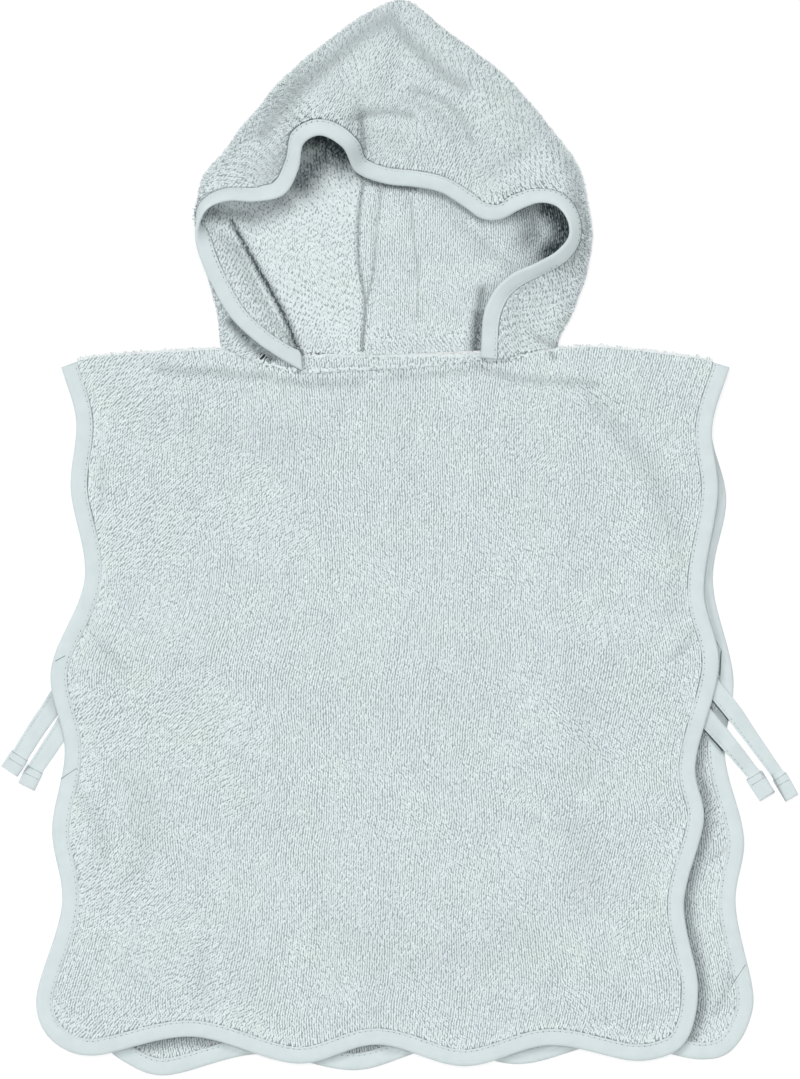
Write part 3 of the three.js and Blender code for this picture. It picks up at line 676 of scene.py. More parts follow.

# %% [markdown]
# ## Ties
# Each tie is the same bias tape folded in half, stitched along one long edge and turned in at the
# end, where it is doubled and a little wider. The left ties come from under the front. The right
# ones come out between front and back and drop over the back's binding. TIE_SHADES are painted
# shadows of the right ties on the back, and the table after it painted shadows on the ties, as rows
# like the creases'.

# %% Ties, columns x y z wide thick
TIES = {
    "tie_front_left": [
        (-247, -103.5, 0.8, 14.4, 1.6), (-257, -121, 0.8, 14.2, 1.6), (-274, -146, 0, 13.4, 1.6),
        (-284, -162, 0, 12.8, 1.6), (-285, -163.5, 0, 14.6, 2.4), (-292.5, -175, 0, 14.6, 2.4),
    ],
    "tie_back_left": [
        (-244.5, -127.5, 0, 13.6, 1.6), (-253, -142.5, 0, 13.3, 1.6), (-265.5, -161.5, 0, 12.6, 1.6),
        (-272.5, -172, 0, 12, 1.6), (-273.5, -173.7, 0, 13.6, 2.4), (-279.7, -186.5, 0, 13.6, 2.4),
    ],
    "tie_front_right": [
        (228, -103, 3.3, 13, 1.6), (237.5, -114.5, 3.3, 13.2, 1.6), (251.5, -132, 3.3, 12.6, 1.6),
        (260, -144, 1, 11.6, 1.6), (265, -151, 0, 11, 1.6), (284, -177.5, 0, 9.4, 1.6),
        (285.2, -179.2, 0, 12, 2.4), (294.4, -195, 0, 11.2, 2.4),
    ],
    "tie_back_right": [
        (218, -121.5, 3.3, 13.6, 1.6), (232, -137, 3.3, 13.8, 1.6), (249, -156.8, 3.3, 12, 1.6),
        (257, -166.5, 1, 11.2, 1.6), (261, -171.5, 0, 10.8, 1.6), (265, -176.5, 0, 10.4, 1.6),
        (266, -178.2, 0, 14, 2.4), (276, -194, 0, 13.4, 2.4),
    ],
}
TIE_SHADES = [
    ([(233, -122), (240, -131), (247, -139)], 4.5, 0, 0.55),
    ([(229, -145.5), (236, -153), (243, -161)], 1.7, 0, 0.6),
]
PAINTED_SHADOWS_ON_TIES = [
    ([(-263, -118), (-258, -127), (-254, -136)], 5.0, 0, 0.2),
    ([(-252, -138), (-249, -146), (-247, -155)], 4.0, 0, 0.14),
    ([(-278, -171.5), (-283, -176.5), (-287, -181)], 1.0, 0, 0.5),
    ([(234, -106), (229, -118), (222, -132)], 5.0, 0, 0.3),
    ([(224, -134), (231, -140), (238, -149)], 5.0, 0, 0.1),
    ([(279.5, -178.5), (283.8, -186.5), (289, -197)], 1.1, 0, 0.55),
    ([(272.5, -176), (278, -182), (282.2, -188), (276, -198)], 1.1, 0, 0.5),
]
TIE_SECTION = [
    (-0.5, 0.15), (-0.5, 0.7), (-0.47, 0.97), (-0.4, 1.0), (-0.35, 0.86), (-0.3, 1.0), (0, 1.07),
    (0.3, 1.04), (0.44, 0.98), (0.49, 0.7), (0.5, 0.25), (0.47, 0), (-0.47, 0),
]
RING_PITCH = 1.5
RING_CLEARANCE = 0.4


def tie_rings(rows):
    """Rings of a tie, and the line along its top with its directions and widths."""
    table = np.array(rows, float)
    shares = np.linspace(0, 1, 300)
    dense = spline(table[:, :2], shares)
    run = run_along(dense)
    knots = np.interp(np.linspace(0, 1, len(table)), shares, run)
    between = np.arange(0, run[-1], RING_PITCH)
    between = between[np.abs(between[:, None] - knots).min(axis=1) > RING_CLEARANCE]
    wanted = np.sort(np.concatenate([between, knots]))
    line = read_off(wanted, run, dense)
    z, wide, thick = (np.interp(wanted, knots, table[:, k]) for k in (2, 3, 4))
    along = unit(np.gradient(line, axis=0))
    aside = np.column_stack([-along[:, 1], along[:, 0]])
    section = np.array(TIE_SECTION + TIE_SECTION[:1])
    plan = line[:, None] + aside[:, None] * section[None, :, :1] * wide[:, None, None]
    height = z[:, None] + section[None, :, 1] * thick[:, None]
    return np.dstack([plan, height]), np.column_stack([line, z + thick]), aside, wide


ties = {}
tie_lines = {}
for name, rows in TIES.items():
    rings, *tie_lines[name] = tie_rings(rows)
    ties[name] = add_piece(name + "_tape", close_up(grid_mesh(rings)), name)

# %% [markdown]
# ## Small things, many times
# A tuft of pile or a stitch is a tiny shape that occurs thousands of times. One template is made
# with a bmesh operator, and numpy then places all copies of its vertices at once and joins them
# into one mesh, which is far quicker than making thousands of objects.

# %% Repeat a template
def repeated(name, template, spots, axes, sizes, values=None):
    """One mesh with a copy of the template at every spot, turned to its axes and scaled."""
    corners = np.array([vert.co[:] for vert in template.verts])
    faces = np.array([[vert.index for vert in face.verts] for face in template.faces])
    copies = spots[:, None] + np.einsum("vk,nk,nkj->nvj", corners, sizes, axes)
    loops = (faces[None] + np.arange(len(spots))[:, None, None] * len(corners)).ravel()
    mesh = bpy.data.meshes.new(name)
    mesh.vertices.add(len(spots) * len(corners))
    mesh.vertices.foreach_set("co", (copies * MM).ravel())
    mesh.loops.add(len(loops))
    mesh.loops.foreach_set("vertex_index", loops)
    mesh.polygons.add(len(spots) * len(faces))
    mesh.polygons.foreach_set("loop_start", np.arange(0, len(loops), faces.shape[1]))
    for title, each in (values or {}).items():
        mesh.attributes.new(title, "FLOAT", "POINT").data.foreach_set("value", np.repeat(each, len(corners)))
    mesh.update()
    mesh.validate()
    return show(name, mesh)


def axes_from(heading, normal):
    """Three unit directions for each spot: along, aside and up."""
    side = unit(np.cross(normal, heading))
    return np.stack([np.cross(side, normal), side, normal], axis=1)


# %% [markdown]
# ## Topstitching
# A row of machine stitches runs 1.8 mm inside the inner edge of every binding, and along one edge
# of each tie as far as its doubled end. What shows from a distance is the row of small dents at
# the needle holes, so each stitch gets a short lozenge of thread and a dent at its end, coloured
# with painted shade for the shade in the hole.

# %% Stitches, sizes along, across and up
STITCH = 4.3
THREAD = (3.0, 0.55, 0.4)
TAPE_DENT = (1.3, 1.05, 0.5)
TIE_DENT = (0.9, 0.6, 0.4)
STITCH_LEVEL = 2.72
FACE_STITCH_LEVEL = 1.22
thread = bmesh.new()
bmesh.ops.create_icosphere(thread, subdivisions=1, radius=0.5)


def stitch_row(line, normals):
    """Spots and axes of stitches along a line, one every 4.3 mm."""
    run = run_along(line)
    wanted = np.arange(2, run[-1] - 1, STITCH)
    heading = unit(read_off(wanted, run, np.gradient(line, axis=0)))
    return read_off(wanted, run, line), axes_from(heading, unit(read_off(wanted, run, normals)))


def stitches(name, rows, dent=TAPE_DENT):
    """Thread and needle dents for several stitch rows, as two joined meshes."""
    spots = np.concatenate([row[0] for row in rows])
    axes = np.concatenate([row[1] for row in rows])
    size = np.random.default_rng(4).uniform(0.85, 1.15, (len(spots), 1))
    threads = repeated(name, thread, spots, axes, size * THREAD)
    dents = spots + axes[:, 0] * STITCH / 2 - axes[:, 2] * 0.05
    holes = repeated(name + "_dents", thread, dents, axes, size * dent)
    return [threads, holes]


def panel_stitches(edge, inward, under):
    plan = edge + inward * STITCH_DEPTH
    up = np.tile(UP, (len(plan), 1))
    return stitch_row(np.column_stack([plan, under(plan) + STITCH_LEVEL]), up)


def flap_start(line):
    """The ring at which a tie steps up to its doubled end."""
    return np.argmax(np.diff(line[:, 2])) + 1


def tie_stitches(name):
    line, aside, wide = tie_lines[name]
    up = np.tile(UP, (len(line), 1))
    edge = line + np.column_stack([aside * (-0.35 * wide)[:, None], np.full(len(line), -0.2)])
    flap = flap_start(line)
    return [stitch_row(edge[:flap], up[:flap])]


front_stitches = stitches("front_stitches", [panel_stitches(front_edge, front_in, front_under)])
back_stitches = stitches("back_stitches", [panel_stitches(back_edge, back_in, back_under)])
face_line = face + across * STITCH_DEPTH
both_sides = (out, -out)
hood_rows = [stitch_row(face_line + side * FACE_STITCH_LEVEL, side) for side in both_sides]
hood_stitches = stitches("hood_stitches", hood_rows)
tie_sewing = {name: stitches(name + "_stitches", tie_stitches(name), TIE_DENT) for name in TIES}

# %% [markdown]
# ## Terry pile
# Terry is covered with short loops of yarn that stand in rows and lean a little. A loop seen from
# above is a bright stroke just under 3 mm long with darker gaps round it. Real loops catch the
# light and roughen every outline, which no bump map does, so they are modelled: a grid of two
# faces is bent into a ridge, and one stands in every cell of a fine grid over the cloth. Each
# column of loops starts a little later than its neighbour, by a share of the pitch that never
# comes round to the same place, and each loop strays a little, so that no pattern shows.

# %% Tufts
tuft = bmesh.new()
bmesh.ops.create_grid(tuft, x_segments=2, y_segments=1, size=0.5)
for vert in tuft.verts:
    ridge = abs(vert.co.x) < 0.1
    vert.co.y *= 1.2 if ridge else 0.8
    vert.co.z = 1.0 if ridge else 0.15
print("faces in a tuft:", len(tuft.faces))


def refined(places, pitches):
    """The same grid with cells about one pitch long, down its rows and across its columns."""
    for axis, pitch in enumerate(pitches):
        steps = length(np.diff(places, axis=axis)).max(axis=1 - axis)
        run = np.concatenate([[0], np.cumsum(steps)])
        wanted = np.linspace(0, run[-1], round(run[-1] / pitch) + 1)
        index = np.interp(wanted, run, np.arange(len(run)))
        low = np.minimum(index.astype(int), len(run) - 2)
        share = (index - low).reshape((-1, 1, 1) if axis == 0 else (1, -1, 1))
        places = np.take(places, low, axis) * (1 - share) + np.take(places, low + 1, axis) * share
    return places


# %% Where the tufts stand
STAGGER = 0.382
THINNING_ROW, THINNING_COLUMN = 0.7549, 0.5698
FULLNESS = 1.4


def pile_spots(places, seed, facing, pitches):
    """A spot and a normal in each cell of a grid. Small cells are thinned out evenly."""
    draw = np.random.default_rng(seed)
    grid = refined(places, pitches)
    a, b, c, d = grid[:-1, :-1], grid[:-1, 1:], grid[1:, 1:], grid[1:, :-1]
    u = draw.uniform(0.35, 0.65, (*a.shape[:2], 1))
    v = draw.uniform(-0.27, 0.27, (*a.shape[:2], 1))
    v = v + np.arange(a.shape[1])[None, :, None] * STAGGER % 1
    spots = (a * (1 - u) + b * u) * (1 - v) + (d * (1 - u) + c * u) * v
    spots[..., 0] += 0.35 * ripples(spots[..., :2], 30, seed)
    cross = np.cross(b + c - a - d, c + d - a - b) / 4 * facing
    row, column = np.indices(a.shape[:2])
    order = (row * THINNING_ROW + column * THINNING_COLUMN) % 1
    keep = order < length(cross) / (pitches[0] * pitches[1]) * FULLNESS
    return spots[keep], unit(cross)[keep]


# %% Tufts on the spots, sizes along, across and up
PANEL_TUFT = (2.75, 1.08, 1.12)
STEEP = 0.25


def pile(name, spots, normals, lean, rows, seed, size=PANEL_TUFT, uneven=0.15):
    """Tufts at the spots. lean is the angle of their strokes from +Y in plan, in degrees."""
    draw = np.random.default_rng(seed)
    turn = np.radians(lean + draw.normal(0, 7, len(spots)))
    heading = np.column_stack([np.sin(turn), np.cos(turn), np.zeros(len(spots))])
    steep = np.abs(normals @ UP) < STEEP
    heading[steep] = heading[steep] + UP
    tipped = unit(normals + 0.12 * draw.normal(0, 1, normals.shape))
    sizes = np.array(size) * draw.uniform(1 - uneven, 1 + uneven, (len(spots), 3))
    # dark is the painted shade of the crease and shadow rows at each tuft
    values = {"tone": draw.normal(0, 1, len(spots)), "dark": painted_shade_at(spots[:, :2], rows)}
    return repeated(name, tuft, spots, axes_from(heading, tipped), sizes, values)


# %% [markdown]
# The strokes follow the way the cloth was handled: upright down the middle of the front, leaning
# to the right at its left side, and swirled in patches. The back only needs pile where it shows
# beyond the front. Both shoulder edges get a fringe of loops that lean every way, kept high enough
# that none reaches into the surface below.

# %% Pile of the panels
PANEL_PITCHES = (2.25, 1.88)
RIM_PITCHES = (1.6, 2.0)
RIM_TUFT = (1.6, 0.8, 1.9)
RIM_UNEVEN = 0.7
RIM_CLEARANCE = 1.5
UNDER_SIDE, UNDER_HEM = 26, 22
NECK_MIDDLE, NECK_REACH, NECK_LOW = -5, 112, 118


def shoulder_rim(top):
    """A narrow grid over the rounded shoulder edge of a panel."""
    edge = top[0]
    nose = edge + [0, SHOULDER_NOSE, -0.4]
    low = edge + [0, SHOULDER_NOSE * 0.8, -1.4]
    return np.stack([low, nose, edge])


def panel_lean(spots):
    """Upright in the middle, leaning to the right at the left side, with two sizes of swirl."""
    xy = spots[:, :2]
    left = 26 * smoothstep(-xy[:, 0], 40, 190)
    return left + 11 * ripples(xy, 120, 11) + 7 * ripples(xy, 45, 12)


def shows_beyond_front(spots):
    """True where the back lies outside the front, or not far under its edge."""
    low_left = np.argmin(front_edge[:, 0] + front_edge[:, 1])
    low_right = np.argmax(front_edge[:, 0] - front_edge[:, 1])
    side, hem = front_edge[low_right:], front_edge[low_left:low_right]
    side_x = np.interp(spots[:, 1], side[:, 1], side[:, 0])
    hem_y = np.interp(spots[:, 0], hem[:, 0], hem[:, 1])
    neck = (np.abs(spots[:, 0] - NECK_MIDDLE) < NECK_REACH) & (spots[:, 1] > NECK_LOW)
    return (spots[:, 0] > side_x - UNDER_SIDE) | (spots[:, 1] < hem_y + UNDER_HEM) | neck


# Painted shadow beside the front's edge on the back, the painted shadows of the right ties, and painted
# shade along the foot of the neckline.
every = len(front_edge) // 60
shadow_beside_front = front_edge[::every] - front_in[::every] * 2
shade_under_neckline = [(x, y + 1.8) for x, y in FRONT_NECKLINE[2:9]]
BACK_CREASES_AND_SHADE += [(shadow_beside_front, 5.5, 0, 0.55), *TIE_SHADES, (shade_under_neckline, 1.5, 0, 0.16)]
spots, normals = pile_spots(front_top, 21, -1, PANEL_PITCHES)
middle = np.median(spots[:, 0])
front_pile = [
    pile(name, spots[half], normals[half], panel_lean(spots[half]), FRONT_CREASES, seed)
    for name, half, seed in (
        ("front_pile_left", spots[:, 0] < middle, 31),
        ("front_pile_right", spots[:, 0] >= middle, 32),
    )
]
spots, normals = pile_spots(back_top, 22, -1, PANEL_PITCHES)
seen = shows_beyond_front(spots)
spots, normals = spots[seen], normals[seen]
back_pile = [pile("back_pile", spots, normals, panel_lean(spots), BACK_CREASES_AND_SHADE, 33)]


def any_way(spots, seed):
    return np.random.default_rng(seed).uniform(-90, 90, len(spots))


for pieces, top, seed in ((front_pile, front_top, 34), (back_pile, back_top, 35)):
    spots, normals = pile_spots(shoulder_rim(top), seed, -1, RIM_PITCHES)
    spots[:, 2] = np.maximum(spots[:, 2], RIM_CLEARANCE)
    name, lean = "rim_pile_" + str(seed), any_way(spots, seed)
    pieces.append(pile(name, spots, normals, lean, FRONT_CREASES, seed, RIM_TUFT, RIM_UNEVEN))

# %% [markdown]
# The hood's loops are finer. They run up towards its tip, stand off along the side fold as a
# fringe, and are mostly left out of the narrow creases inside that carry painted shade, where two
# folds of pile close over the cloth.

# %% Pile of the hood
HOOD_PITCHES, LINING_PITCHES, FRINGE_PITCHES = (1.95, 1.5), (2.1, 1.7), (2.4, 2.0)
HOOD_TUFT = (2.4, 0.88, 1.45)
HOOD_UNEVEN = 0.28
FRINGE_TUFT = (1.5, 0.8, 2.2)
FRINGE = slice(34, 37)
FLOOR_CLEARANCE = 1.2
NARROW = 4
CROWN_COLUMN, INSIDE_COLUMN = 24, 44


def hood_lean(spots):
    """Strokes run up towards the tip: they lean in at both sides of the hood."""
    xy = spots[:, :2]
    sides = 34 * smoothstep(-xy[:, 0], -20, 120) - 34 * smoothstep(xy[:, 0], 40, 130)
    return sides + 8 + 18 * ripples(xy, 70, 13)


def facing_up(places, column):
    """1 if the grid's cells face up along one of its columns, or -1."""
    step = places[1:, column] - places[:-1, column]
    aside = places[:-1, column + 1] - places[:-1, column]
    return 1 if np.median(np.cross(aside, step)[:, 2]) > 0 else -1


def bare_hollows(spots, normals, rows, seed):
    """Leaves out most tufts in the narrow creases with painted shade, so the shaded cloth under them shows.
    """
    chance = np.random.default_rng(seed).uniform(0.5, 0.9, len(spots))
    keep = painted_shade_at(spots[:, :2], [row for row in rows if row[1] < NARROW]) < chance
    return spots[keep], normals[keep]


outwards = facing_up(outer, CROWN_COLUMN)
spots, normals = pile_spots(outer, 23, outwards, HOOD_PITCHES)
above = spots[:, 2] > FLOOR_CLEARANCE
spots, normals = spots[above], normals[above]
lean = hood_lean(spots)
hood_pile = [pile("hood_pile", spots, normals, lean, HOOD_CREASES, 36, HOOD_TUFT, HOOD_UNEVEN)]
spots, normals = pile_spots(outer[:, FRINGE], 26, outwards, FRINGE_PITCHES)
lean = any_way(spots, 27)
hood_pile.append(pile("hood_fringe", spots, normals, lean, HOOD_CREASES, 40, FRINGE_TUFT, RIM_UNEVEN))
inside = np.concatenate([inner, hood_back], axis=1)
spots, normals = pile_spots(inside, 24, facing_up(inside, INSIDE_COLUMN), LINING_PITCHES)
spots, normals = bare_hollows(spots, normals, FLOOR_CREASES_AND_SHADE, 25)
lean = 14 * ripples(spots[:, :2], 50, 14)
size = [(2.4, 0.98 + 0.12 * left, 0.95) for left in smoothstep(-spots[:, 0], 0, 50)]
hood_pile.append(pile("hood_lining_pile", spots, normals, lean, FLOOR_CREASES_AND_SHADE, 37, size))

# %% [markdown]
# Loops also close over the seam between the hood and the body. Each path follows a stretch of it,
# and the loops are scattered along the path and lean unevenly, as they do where two edges meet.

# %% Pile over the neck seam
SEAM_TUFT = (2.6, 1.1, 1.0)
SEAM_SCATTER = (0.5, 0.9, 0.15)
NECK_SEAMS = [
    [(-76, 136.8, 2.1), (-30, 136.8, 2.1), (10, 136.8, 2.1), (62, 136.8, 2.1)],
    [(x, y + 0.9, 3.4) for x, y in FRONT_NECKLINE[3:9]],
    [(-133, 141, 4.4), (-118, 136.6, 4.6), (-103, 131.8, 5), (-88, 127.8, 5.4), (-78, 125.4, 5.6)],
    [(66, 133.6, 5.6), (80, 134.4, 5.6), (95.5, 137.4, 5.2), (107, 140, 4.8), (118, 142, 4.4)],
]


def seam_pile(name, paths, seed):
    """Loops scattered along the paths of a seam, two for each 1.3 mm."""
    draw = np.random.default_rng(seed)
    lines = [even(spline(path, np.linspace(0, 1, 90)), 1.3) for path in paths]
    spots = np.repeat(np.concatenate(lines), 2, axis=0)
    spots = spots + draw.normal(0, 1, spots.shape) * SEAM_SCATTER
    normals = np.tile(UP, (len(spots), 1))
    lean = draw.normal(0, 30, len(spots))
    return pile(name, spots, normals, lean, [], seed, SEAM_TUFT)


hood_pile.append(seam_pile("neck_pile", NECK_SEAMS, 38))

# %% [markdown]
# The woven cloth and the tapes carry the painted shade of the creases and shadows too, as an
# attribute on their vertices that the materials read. The back's tape gets painted shadow where
# the front and the ties lie over it.

# %% Painted shade on the woven cloth and the tapes
def paint_shade_on(piece, rows):
    """Paints the shade of its creases and shadows onto the cloth, as on the pile on it."""
    spots = np.array([vert.co[:2] for vert in piece.data.vertices]) / MM
    dark = painted_shade_at(spots, rows)
    piece.data.attributes.new("dark", "FLOAT", "POINT").data.foreach_set("value", dark)
    print(piece.name, "darkest:", round(float(dark.max()), 2))


paint_shade_on(front_cloth, FRONT_CREASES)
paint_shade_on(back_cloth, BACK_CREASES_AND_SHADE)
paint_shade_on(hood_cloth, FLOOR_CREASES_AND_SHADE)
paint_shade_on(back_tape, TIE_SHADES + [(shadow_beside_front, 2.5, 0, 0.3)])
for tie in ties.values():
    paint_shade_on(tie, PAINTED_SHADOWS_ON_TIES)

# %% [markdown]
# ## Joins in the binding
# Bias tape is joined with diagonal seams. One shows on the front's binding at the left, with a fold
# above it, and one on the back's at the lower right. Above the right ties the back's binding is
# nicked. Each shows as a fine line of shade across the tape, so each is a thin cord that is partly
# sunk into it and coloured with painted shade. The same cord, thicker and darker, is painted shade
# in the gap below the nick and painted shadow along the lower edges of the right ties, and two
# finer ones in the painted shade colour cross the doubled end of each tie, where it is sewn down.

# %% Joins
def tape_join(name, path, under, lift=3.08, radius=0.28):
    """A cord along a path, with its middle at a height above the level that under gives."""
    line = even(np.array(path, float), 1.2)
    line = np.column_stack([line, under(line) + lift])
    heading = unit(np.gradient(line, axis=0))
    aside = unit(np.cross(UP, heading))
    turn = np.linspace(0, 2 * math.pi, 9)[None, :, None]
    rings = line[:, None] + radius * (np.cos(turn) * aside[:, None] + np.sin(turn) * UP)
    return add_piece(name, close_up(grid_mesh(rings)))


joins = [
    tape_join("front_join", [(-254, -180.6), (-248, -176.6), (-242, -172.6)], front_under),
    tape_join("front_fold", [(-258, -92.3), (-250.5, -88.2)], front_under),
    tape_join("back_join", [(259.4, -320), (250, -334)], back_under),
    tape_join("back_notch", [(236.4, -75), (239, -80.2), (241.4, -84.4)], back_under),
]
# cords of painted shade and shadow: in the gap below the nick and along the lower edges of the right ties
painted_shadow_cords = [
    tape_join("shade_below_back_notch", [(241.2, -84.6), (240.2, -103)], back_under, 3.1, 0.4),
    tape_join("shadow_under_front_right_tie", [(234.2, -121), (247, -136.8)], back_under, 3.0, 0.7),
    tape_join("shadow_under_back_right_tie", [(227.6, -142.6), (242.6, -159.6)], back_under, 3.0, 0.7),
]


def flap_seams(name):
    """Two fine lines across the doubled end of a tie, where it is sewn down."""
    line, aside, wide = tie_lines[name]
    flap = flap_start(line)
    made = []
    for k, share in ((flap + 1, 0.44), (flap + 5, 0.4)):
        reach = aside[k] * wide[k] * share
        path = [line[k, :2] - reach, line[k, :2] + reach]
        made.append(tape_join(f"{name}_seam_{k}", path, back_under, line[k, 2], 0.2))
    return made


flap_lines = {name: flap_seams(name) for name in TIES}

# %% [markdown]
# ## A small language for materials
# Shader nodes are easier to read as sums. `Value` wraps a socket, and adding or multiplying two of
# them adds the Math node that does it. `Finish.add` makes any other node from its type, settings
# and sockets.

# %% Material helpers
class Value:
    """A node's output that takes part in sums."""

    def __init__(self, finish, socket):
        self.finish = finish
        self.socket = socket

    def math(self, operation, *others):
        inputs = dict(enumerate((self, *others)))
        return self.finish.add("Math", {"operation": operation}, inputs)

    def __add__(self, other):
        return self.math("ADD", other)

    __radd__ = __add__

    def __mul__(self, other):
        return self.math("MULTIPLY", other)

    __rmul__ = __mul__

    def __sub__(self, other):
        return self.math("SUBTRACT", other)

    def __rsub__(self, other):
        return self * -1 + other


class Finish:
    """A material under construction."""

    def __init__(self, name):
        self.material = bpy.data.materials.new(name)
        self.material.use_nodes = True
        self.nodes = self.material.node_tree.nodes
        self.nodes.clear()

    def add(self, kind, settings=None, inputs=None, output=0):
        """Adds a node. Settings come first, then values or links by socket name or number."""
        node = self.nodes.new("ShaderNode" + kind)
        for key, value in (settings or {}).items():
            setattr(node, key, value)
        for key, value in (inputs or {}).items():
            if isinstance(value, Value):
                self.material.node_tree.links.new(value.socket, node.inputs[key])
            else:
                node.inputs[key].default_value = value
        return Value(self, node.outputs[output] if node.outputs else None)

    def attribute(self, name):
        return self.add("Attribute", {"attribute_name": name}, output=2)

    def noise(self, where, scale, detail=2.0):
        return self.add("TexNoise", None, {"Vector": where, "Scale": scale, "Detail": detail})

    def blend(self, share, first, second):
        """A colour between two, by a share from 0 to 1."""
        settings = {"data_type": "RGBA", "clamp_factor": True}
        return self.add("Mix", settings, {0: share, 6: first, 7: second}, output=2)

    def end(self, colour, roughness, normal=None, sheen=0.0, glow=0.0):
        """A matt surface. sheen is its fuzz at a flat angle, glow the light it gives off."""
        inputs = {"Base Color": colour, "Roughness": roughness, "Specular IOR Level": 0.2}
        inputs |= {"Sheen Weight": sheen, "Emission Strength": glow}
        if normal:
            inputs["Normal"] = normal
        surface = self.add("BsdfPrincipled", None, inputs)
        self.add("OutputMaterial", None, {"Surface": surface})
        return self.material


def paint(red, green, blue):
    """A display colour from 0 to 255 as the linear colour a shader wants."""
    return (*(((c / 255 + 0.055) / 1.055) ** 2.4 for c in (red, green, blue)), 1)


# %% [markdown]
# ## Terry and tape
# The loops are pale and every one has its own tone. Very slow patches turn the grey-blue a little
# greener or bluer, as on the real cloth. The cloth under the pile is painted darker, as the shade
# that falls among the loops, and both are painted towards one deep grey as shade in the creases
# and shadows. The tape is a plain weave cut on the bias: its threads cross at 45 degrees and are
# only 0.4 mm apart, so they are a bump.

# %% Terry
# the deep grey that painted shade goes towards
SHADE_GREY = (54, 67, 71)
OBJECT = 3


def patches(finish, where, greener, bluer):
    """The slow drift of the dye between a greener and a bluer grey-blue."""
    drift = finish.noise(where, 24.0)
    return finish.blend((drift - 0.3) * 2.5, paint(*greener), paint(*bluer))


def pile_material():
    finish = Finish("terry_pile")
    where = finish.add("TexCoord", output=OBJECT)
    tone = finish.attribute("tone")
    dark = finish.attribute("dark")
    tint = patches(finish, where, (241, 251, 249), (241, 249, 252))
    colour = finish.blend(tone * 0.08 + 0.8, paint(196, 209, 212), tint)
    # painted shade: loops in creases and shadows go towards the deep grey
    colour = finish.blend(dark * (tone * 0.12 + 0.94), colour, paint(*SHADE_GREY))
    fibres = finish.noise(where, 2600.0)
    bump = finish.add("Bump", None, {"Strength": 0.5, "Distance": 0.0004, "Height": fibres})
    return finish.end(colour, 0.95, bump, 0.25)


def ground_material():
    finish = Finish("terry_ground")
    where = finish.add("TexCoord", output=OBJECT)
    dark = finish.attribute("dark")
    loops = finish.noise(where, 420.0, 3.0)
    # painted shade: the cloth under the pile is coloured darker than the loops, for the shade among them
    tint = patches(finish, where, (186, 199, 200), (187, 198, 203))
    colour = finish.blend((loops - 0.35) * 3, paint(166, 180, 184), tint)
    # painted shade of the creases and shadows
    colour = finish.blend(dark * 1.15, colour, paint(*SHADE_GREY))
    bump = finish.add("Bump", None, {"Strength": 0.9, "Distance": 0.0012, "Height": loops})
    return finish.end(colour, 1.0, bump, 0.2)


# %% Tape
THREADS = 11000


def tape_material(name, light, dark):
    finish = Finish(name)
    where = finish.add("TexCoord", output=OBJECT)
    split = finish.add("SeparateXYZ", None, {0: where})
    x, y = split, Value(finish, split.socket.node.outputs[1])
    warp = ((x + y) * THREADS).math("SINE")
    weft = ((x - y) * THREADS).math("SINE")
    weave = warp * weft
    soft = finish.noise(where, 90.0)
    colour = finish.blend((soft - 0.5) * 1.2 + weave * 0.12 + 0.6, dark, light)
    # painted shadow of the front and the ties on the back's tape, and on the ties
    painted_shade_share = finish.attribute("dark")
    colour = finish.blend(painted_shade_share, colour, paint(*SHADE_GREY))
    height = weave * 0.25 + soft * 2
    bump = finish.add("Bump", None, {"Strength": 0.35, "Distance": 0.0003, "Height": height})
    return finish.end(colour, 0.85, bump, 0.1)


terry_pile = pile_material()
terry_ground = ground_material()
tape = tape_material("cotton_tape", paint(219, 230, 231), paint(208, 220, 222))
sewing = tape_material("sewing_thread", paint(216, 227, 228), paint(198, 211, 213))
# painted shade: the dark colour of needle holes, joins and the seams across the ties' ends
dent_shade = tape_material("painted_dent_shade", paint(146, 161, 164), paint(122, 138, 142))
# the deep grey of the painted shadow cords
shadow_cord_paint = tape_material("painted_shadow_cords", paint(84, 98, 102), paint(58, 70, 74))


def dress(pieces, material):
    for piece in pieces:
        piece.data.materials.clear()
        piece.data.materials.append(material)


dress([front_cloth, back_cloth, hood_cloth], terry_ground)
dress([*front_pile, *back_pile, *hood_pile], terry_pile)
dress([front_tape, back_tape, hood_tape, *ties.values()], tape)
sewn = [front_stitches, back_stitches, hood_stitches, *tie_sewing.values()]
dress([threads for threads, _ in sewn], sewing)
# needle holes, joins and flap seams get the painted shade colour
dress([holes for _, holes in sewn] + joins + sum(flap_lines.values(), []), dent_shade)
dress(painted_shadow_cords, shadow_cord_paint)
print("materials:", [material.name for material in bpy.data.materials])

# %% [markdown]
# ## How much cloth there is
# The area of one side of each terry cloth is printed. The ties are narrow strips and are not
# measured.

# %% Sheets
def cloth_area(piece):
    """The area of one side of a closed cloth, in square metres."""
    return sum(face.area for face in piece.data.polygons) / 2


for piece in (front_cloth, back_cloth, hood_cloth):
    print(piece.name, "one side:", round(cloth_area(piece), 4), "m2")

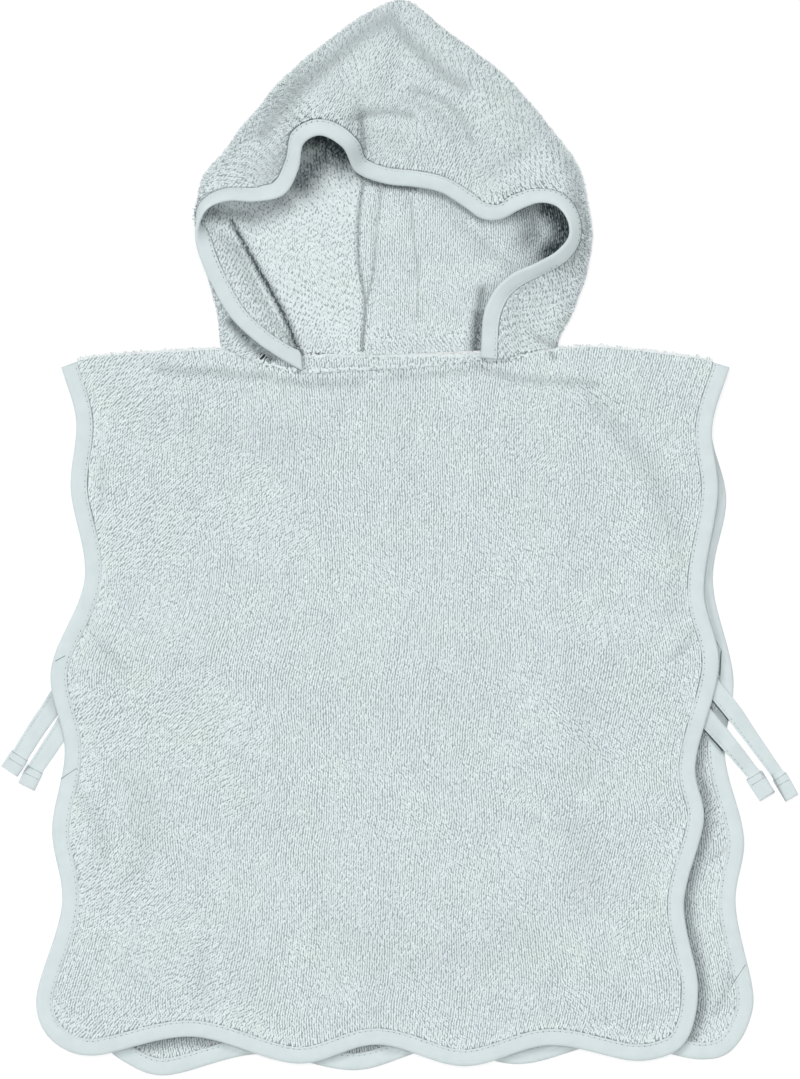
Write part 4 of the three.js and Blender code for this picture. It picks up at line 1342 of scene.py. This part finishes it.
# %% [markdown]
# ## Light and camera
# The garment was photographed from straight above on white, in soft even light that comes a
# little more from the upper left. The world fills the shadows, a very wide sun overhead lights the
# cloth, and a narrower one from the upper left gives the shadows a direction. The floor is grey
# paper that glows a little: it comes out white, and the shadows on it stay as faint as they were.
# The camera stands 12 m away with a long lens, so its picture measures true all over.

# %% Stage
FLOOR_SIZE = 12
FLOOR_LEVEL = -0.0002
bm = bmesh.new()
bmesh.ops.create_grid(bm, x_segments=1, y_segments=1, size=FLOOR_SIZE)
bmesh.ops.translate(bm, verts=bm.verts, vec=(0, 0, FLOOR_LEVEL))
mesh = bpy.data.meshes.new("floor")
bm.to_mesh(mesh)
bm.free()
floor_plane = bpy.data.objects.new("floor", mesh)
bpy.context.scene.collection.objects.link(floor_plane)
paper = Finish("white_paper")
dress([floor_plane], paper.end(paint(188, 188, 188), 1.0, glow=0.56))

world = bpy.data.worlds.new("soft_light")
bpy.context.scene.world = world
world.use_nodes = True
background = world.node_tree.nodes["Background"].inputs
background["Color"].default_value = (1, 1, 1, 1)
background["Strength"].default_value = 0.3


def soft_sun(name, energy, spread, turn):
    """A sun as wide as a softbox, so its shadows have soft edges and no falloff."""
    light = bpy.data.lights.new(name, "SUN")
    light.energy = energy
    light.angle = math.radians(spread)
    lamp = bpy.data.objects.new(name, light)
    lamp.rotation_euler = [math.radians(angle) for angle in turn]
    bpy.context.scene.collection.objects.link(lamp)


soft_sun("overhead_light", 1.93, 84, (-5, -4, 0))
soft_sun("side_light", 0.5, 28, (-34, -26, 0))
bpy.context.scene.view_settings.view_transform = "Standard"

# %% Camera
FRAME_HEIGHT = 0.80925
DISTANCE = 12.0
AIM = (0.0004, -0.0011)
camera_data = bpy.data.cameras.new("camera")
camera_data.lens = camera_data.sensor_width * DISTANCE / FRAME_HEIGHT
camera = bpy.data.objects.new("camera", camera_data)
camera.location = (*AIM, DISTANCE)
bpy.context.scene.collection.objects.link(camera)
bpy.context.scene.camera = camera
print("lens:", round(camera_data.lens), "mm")
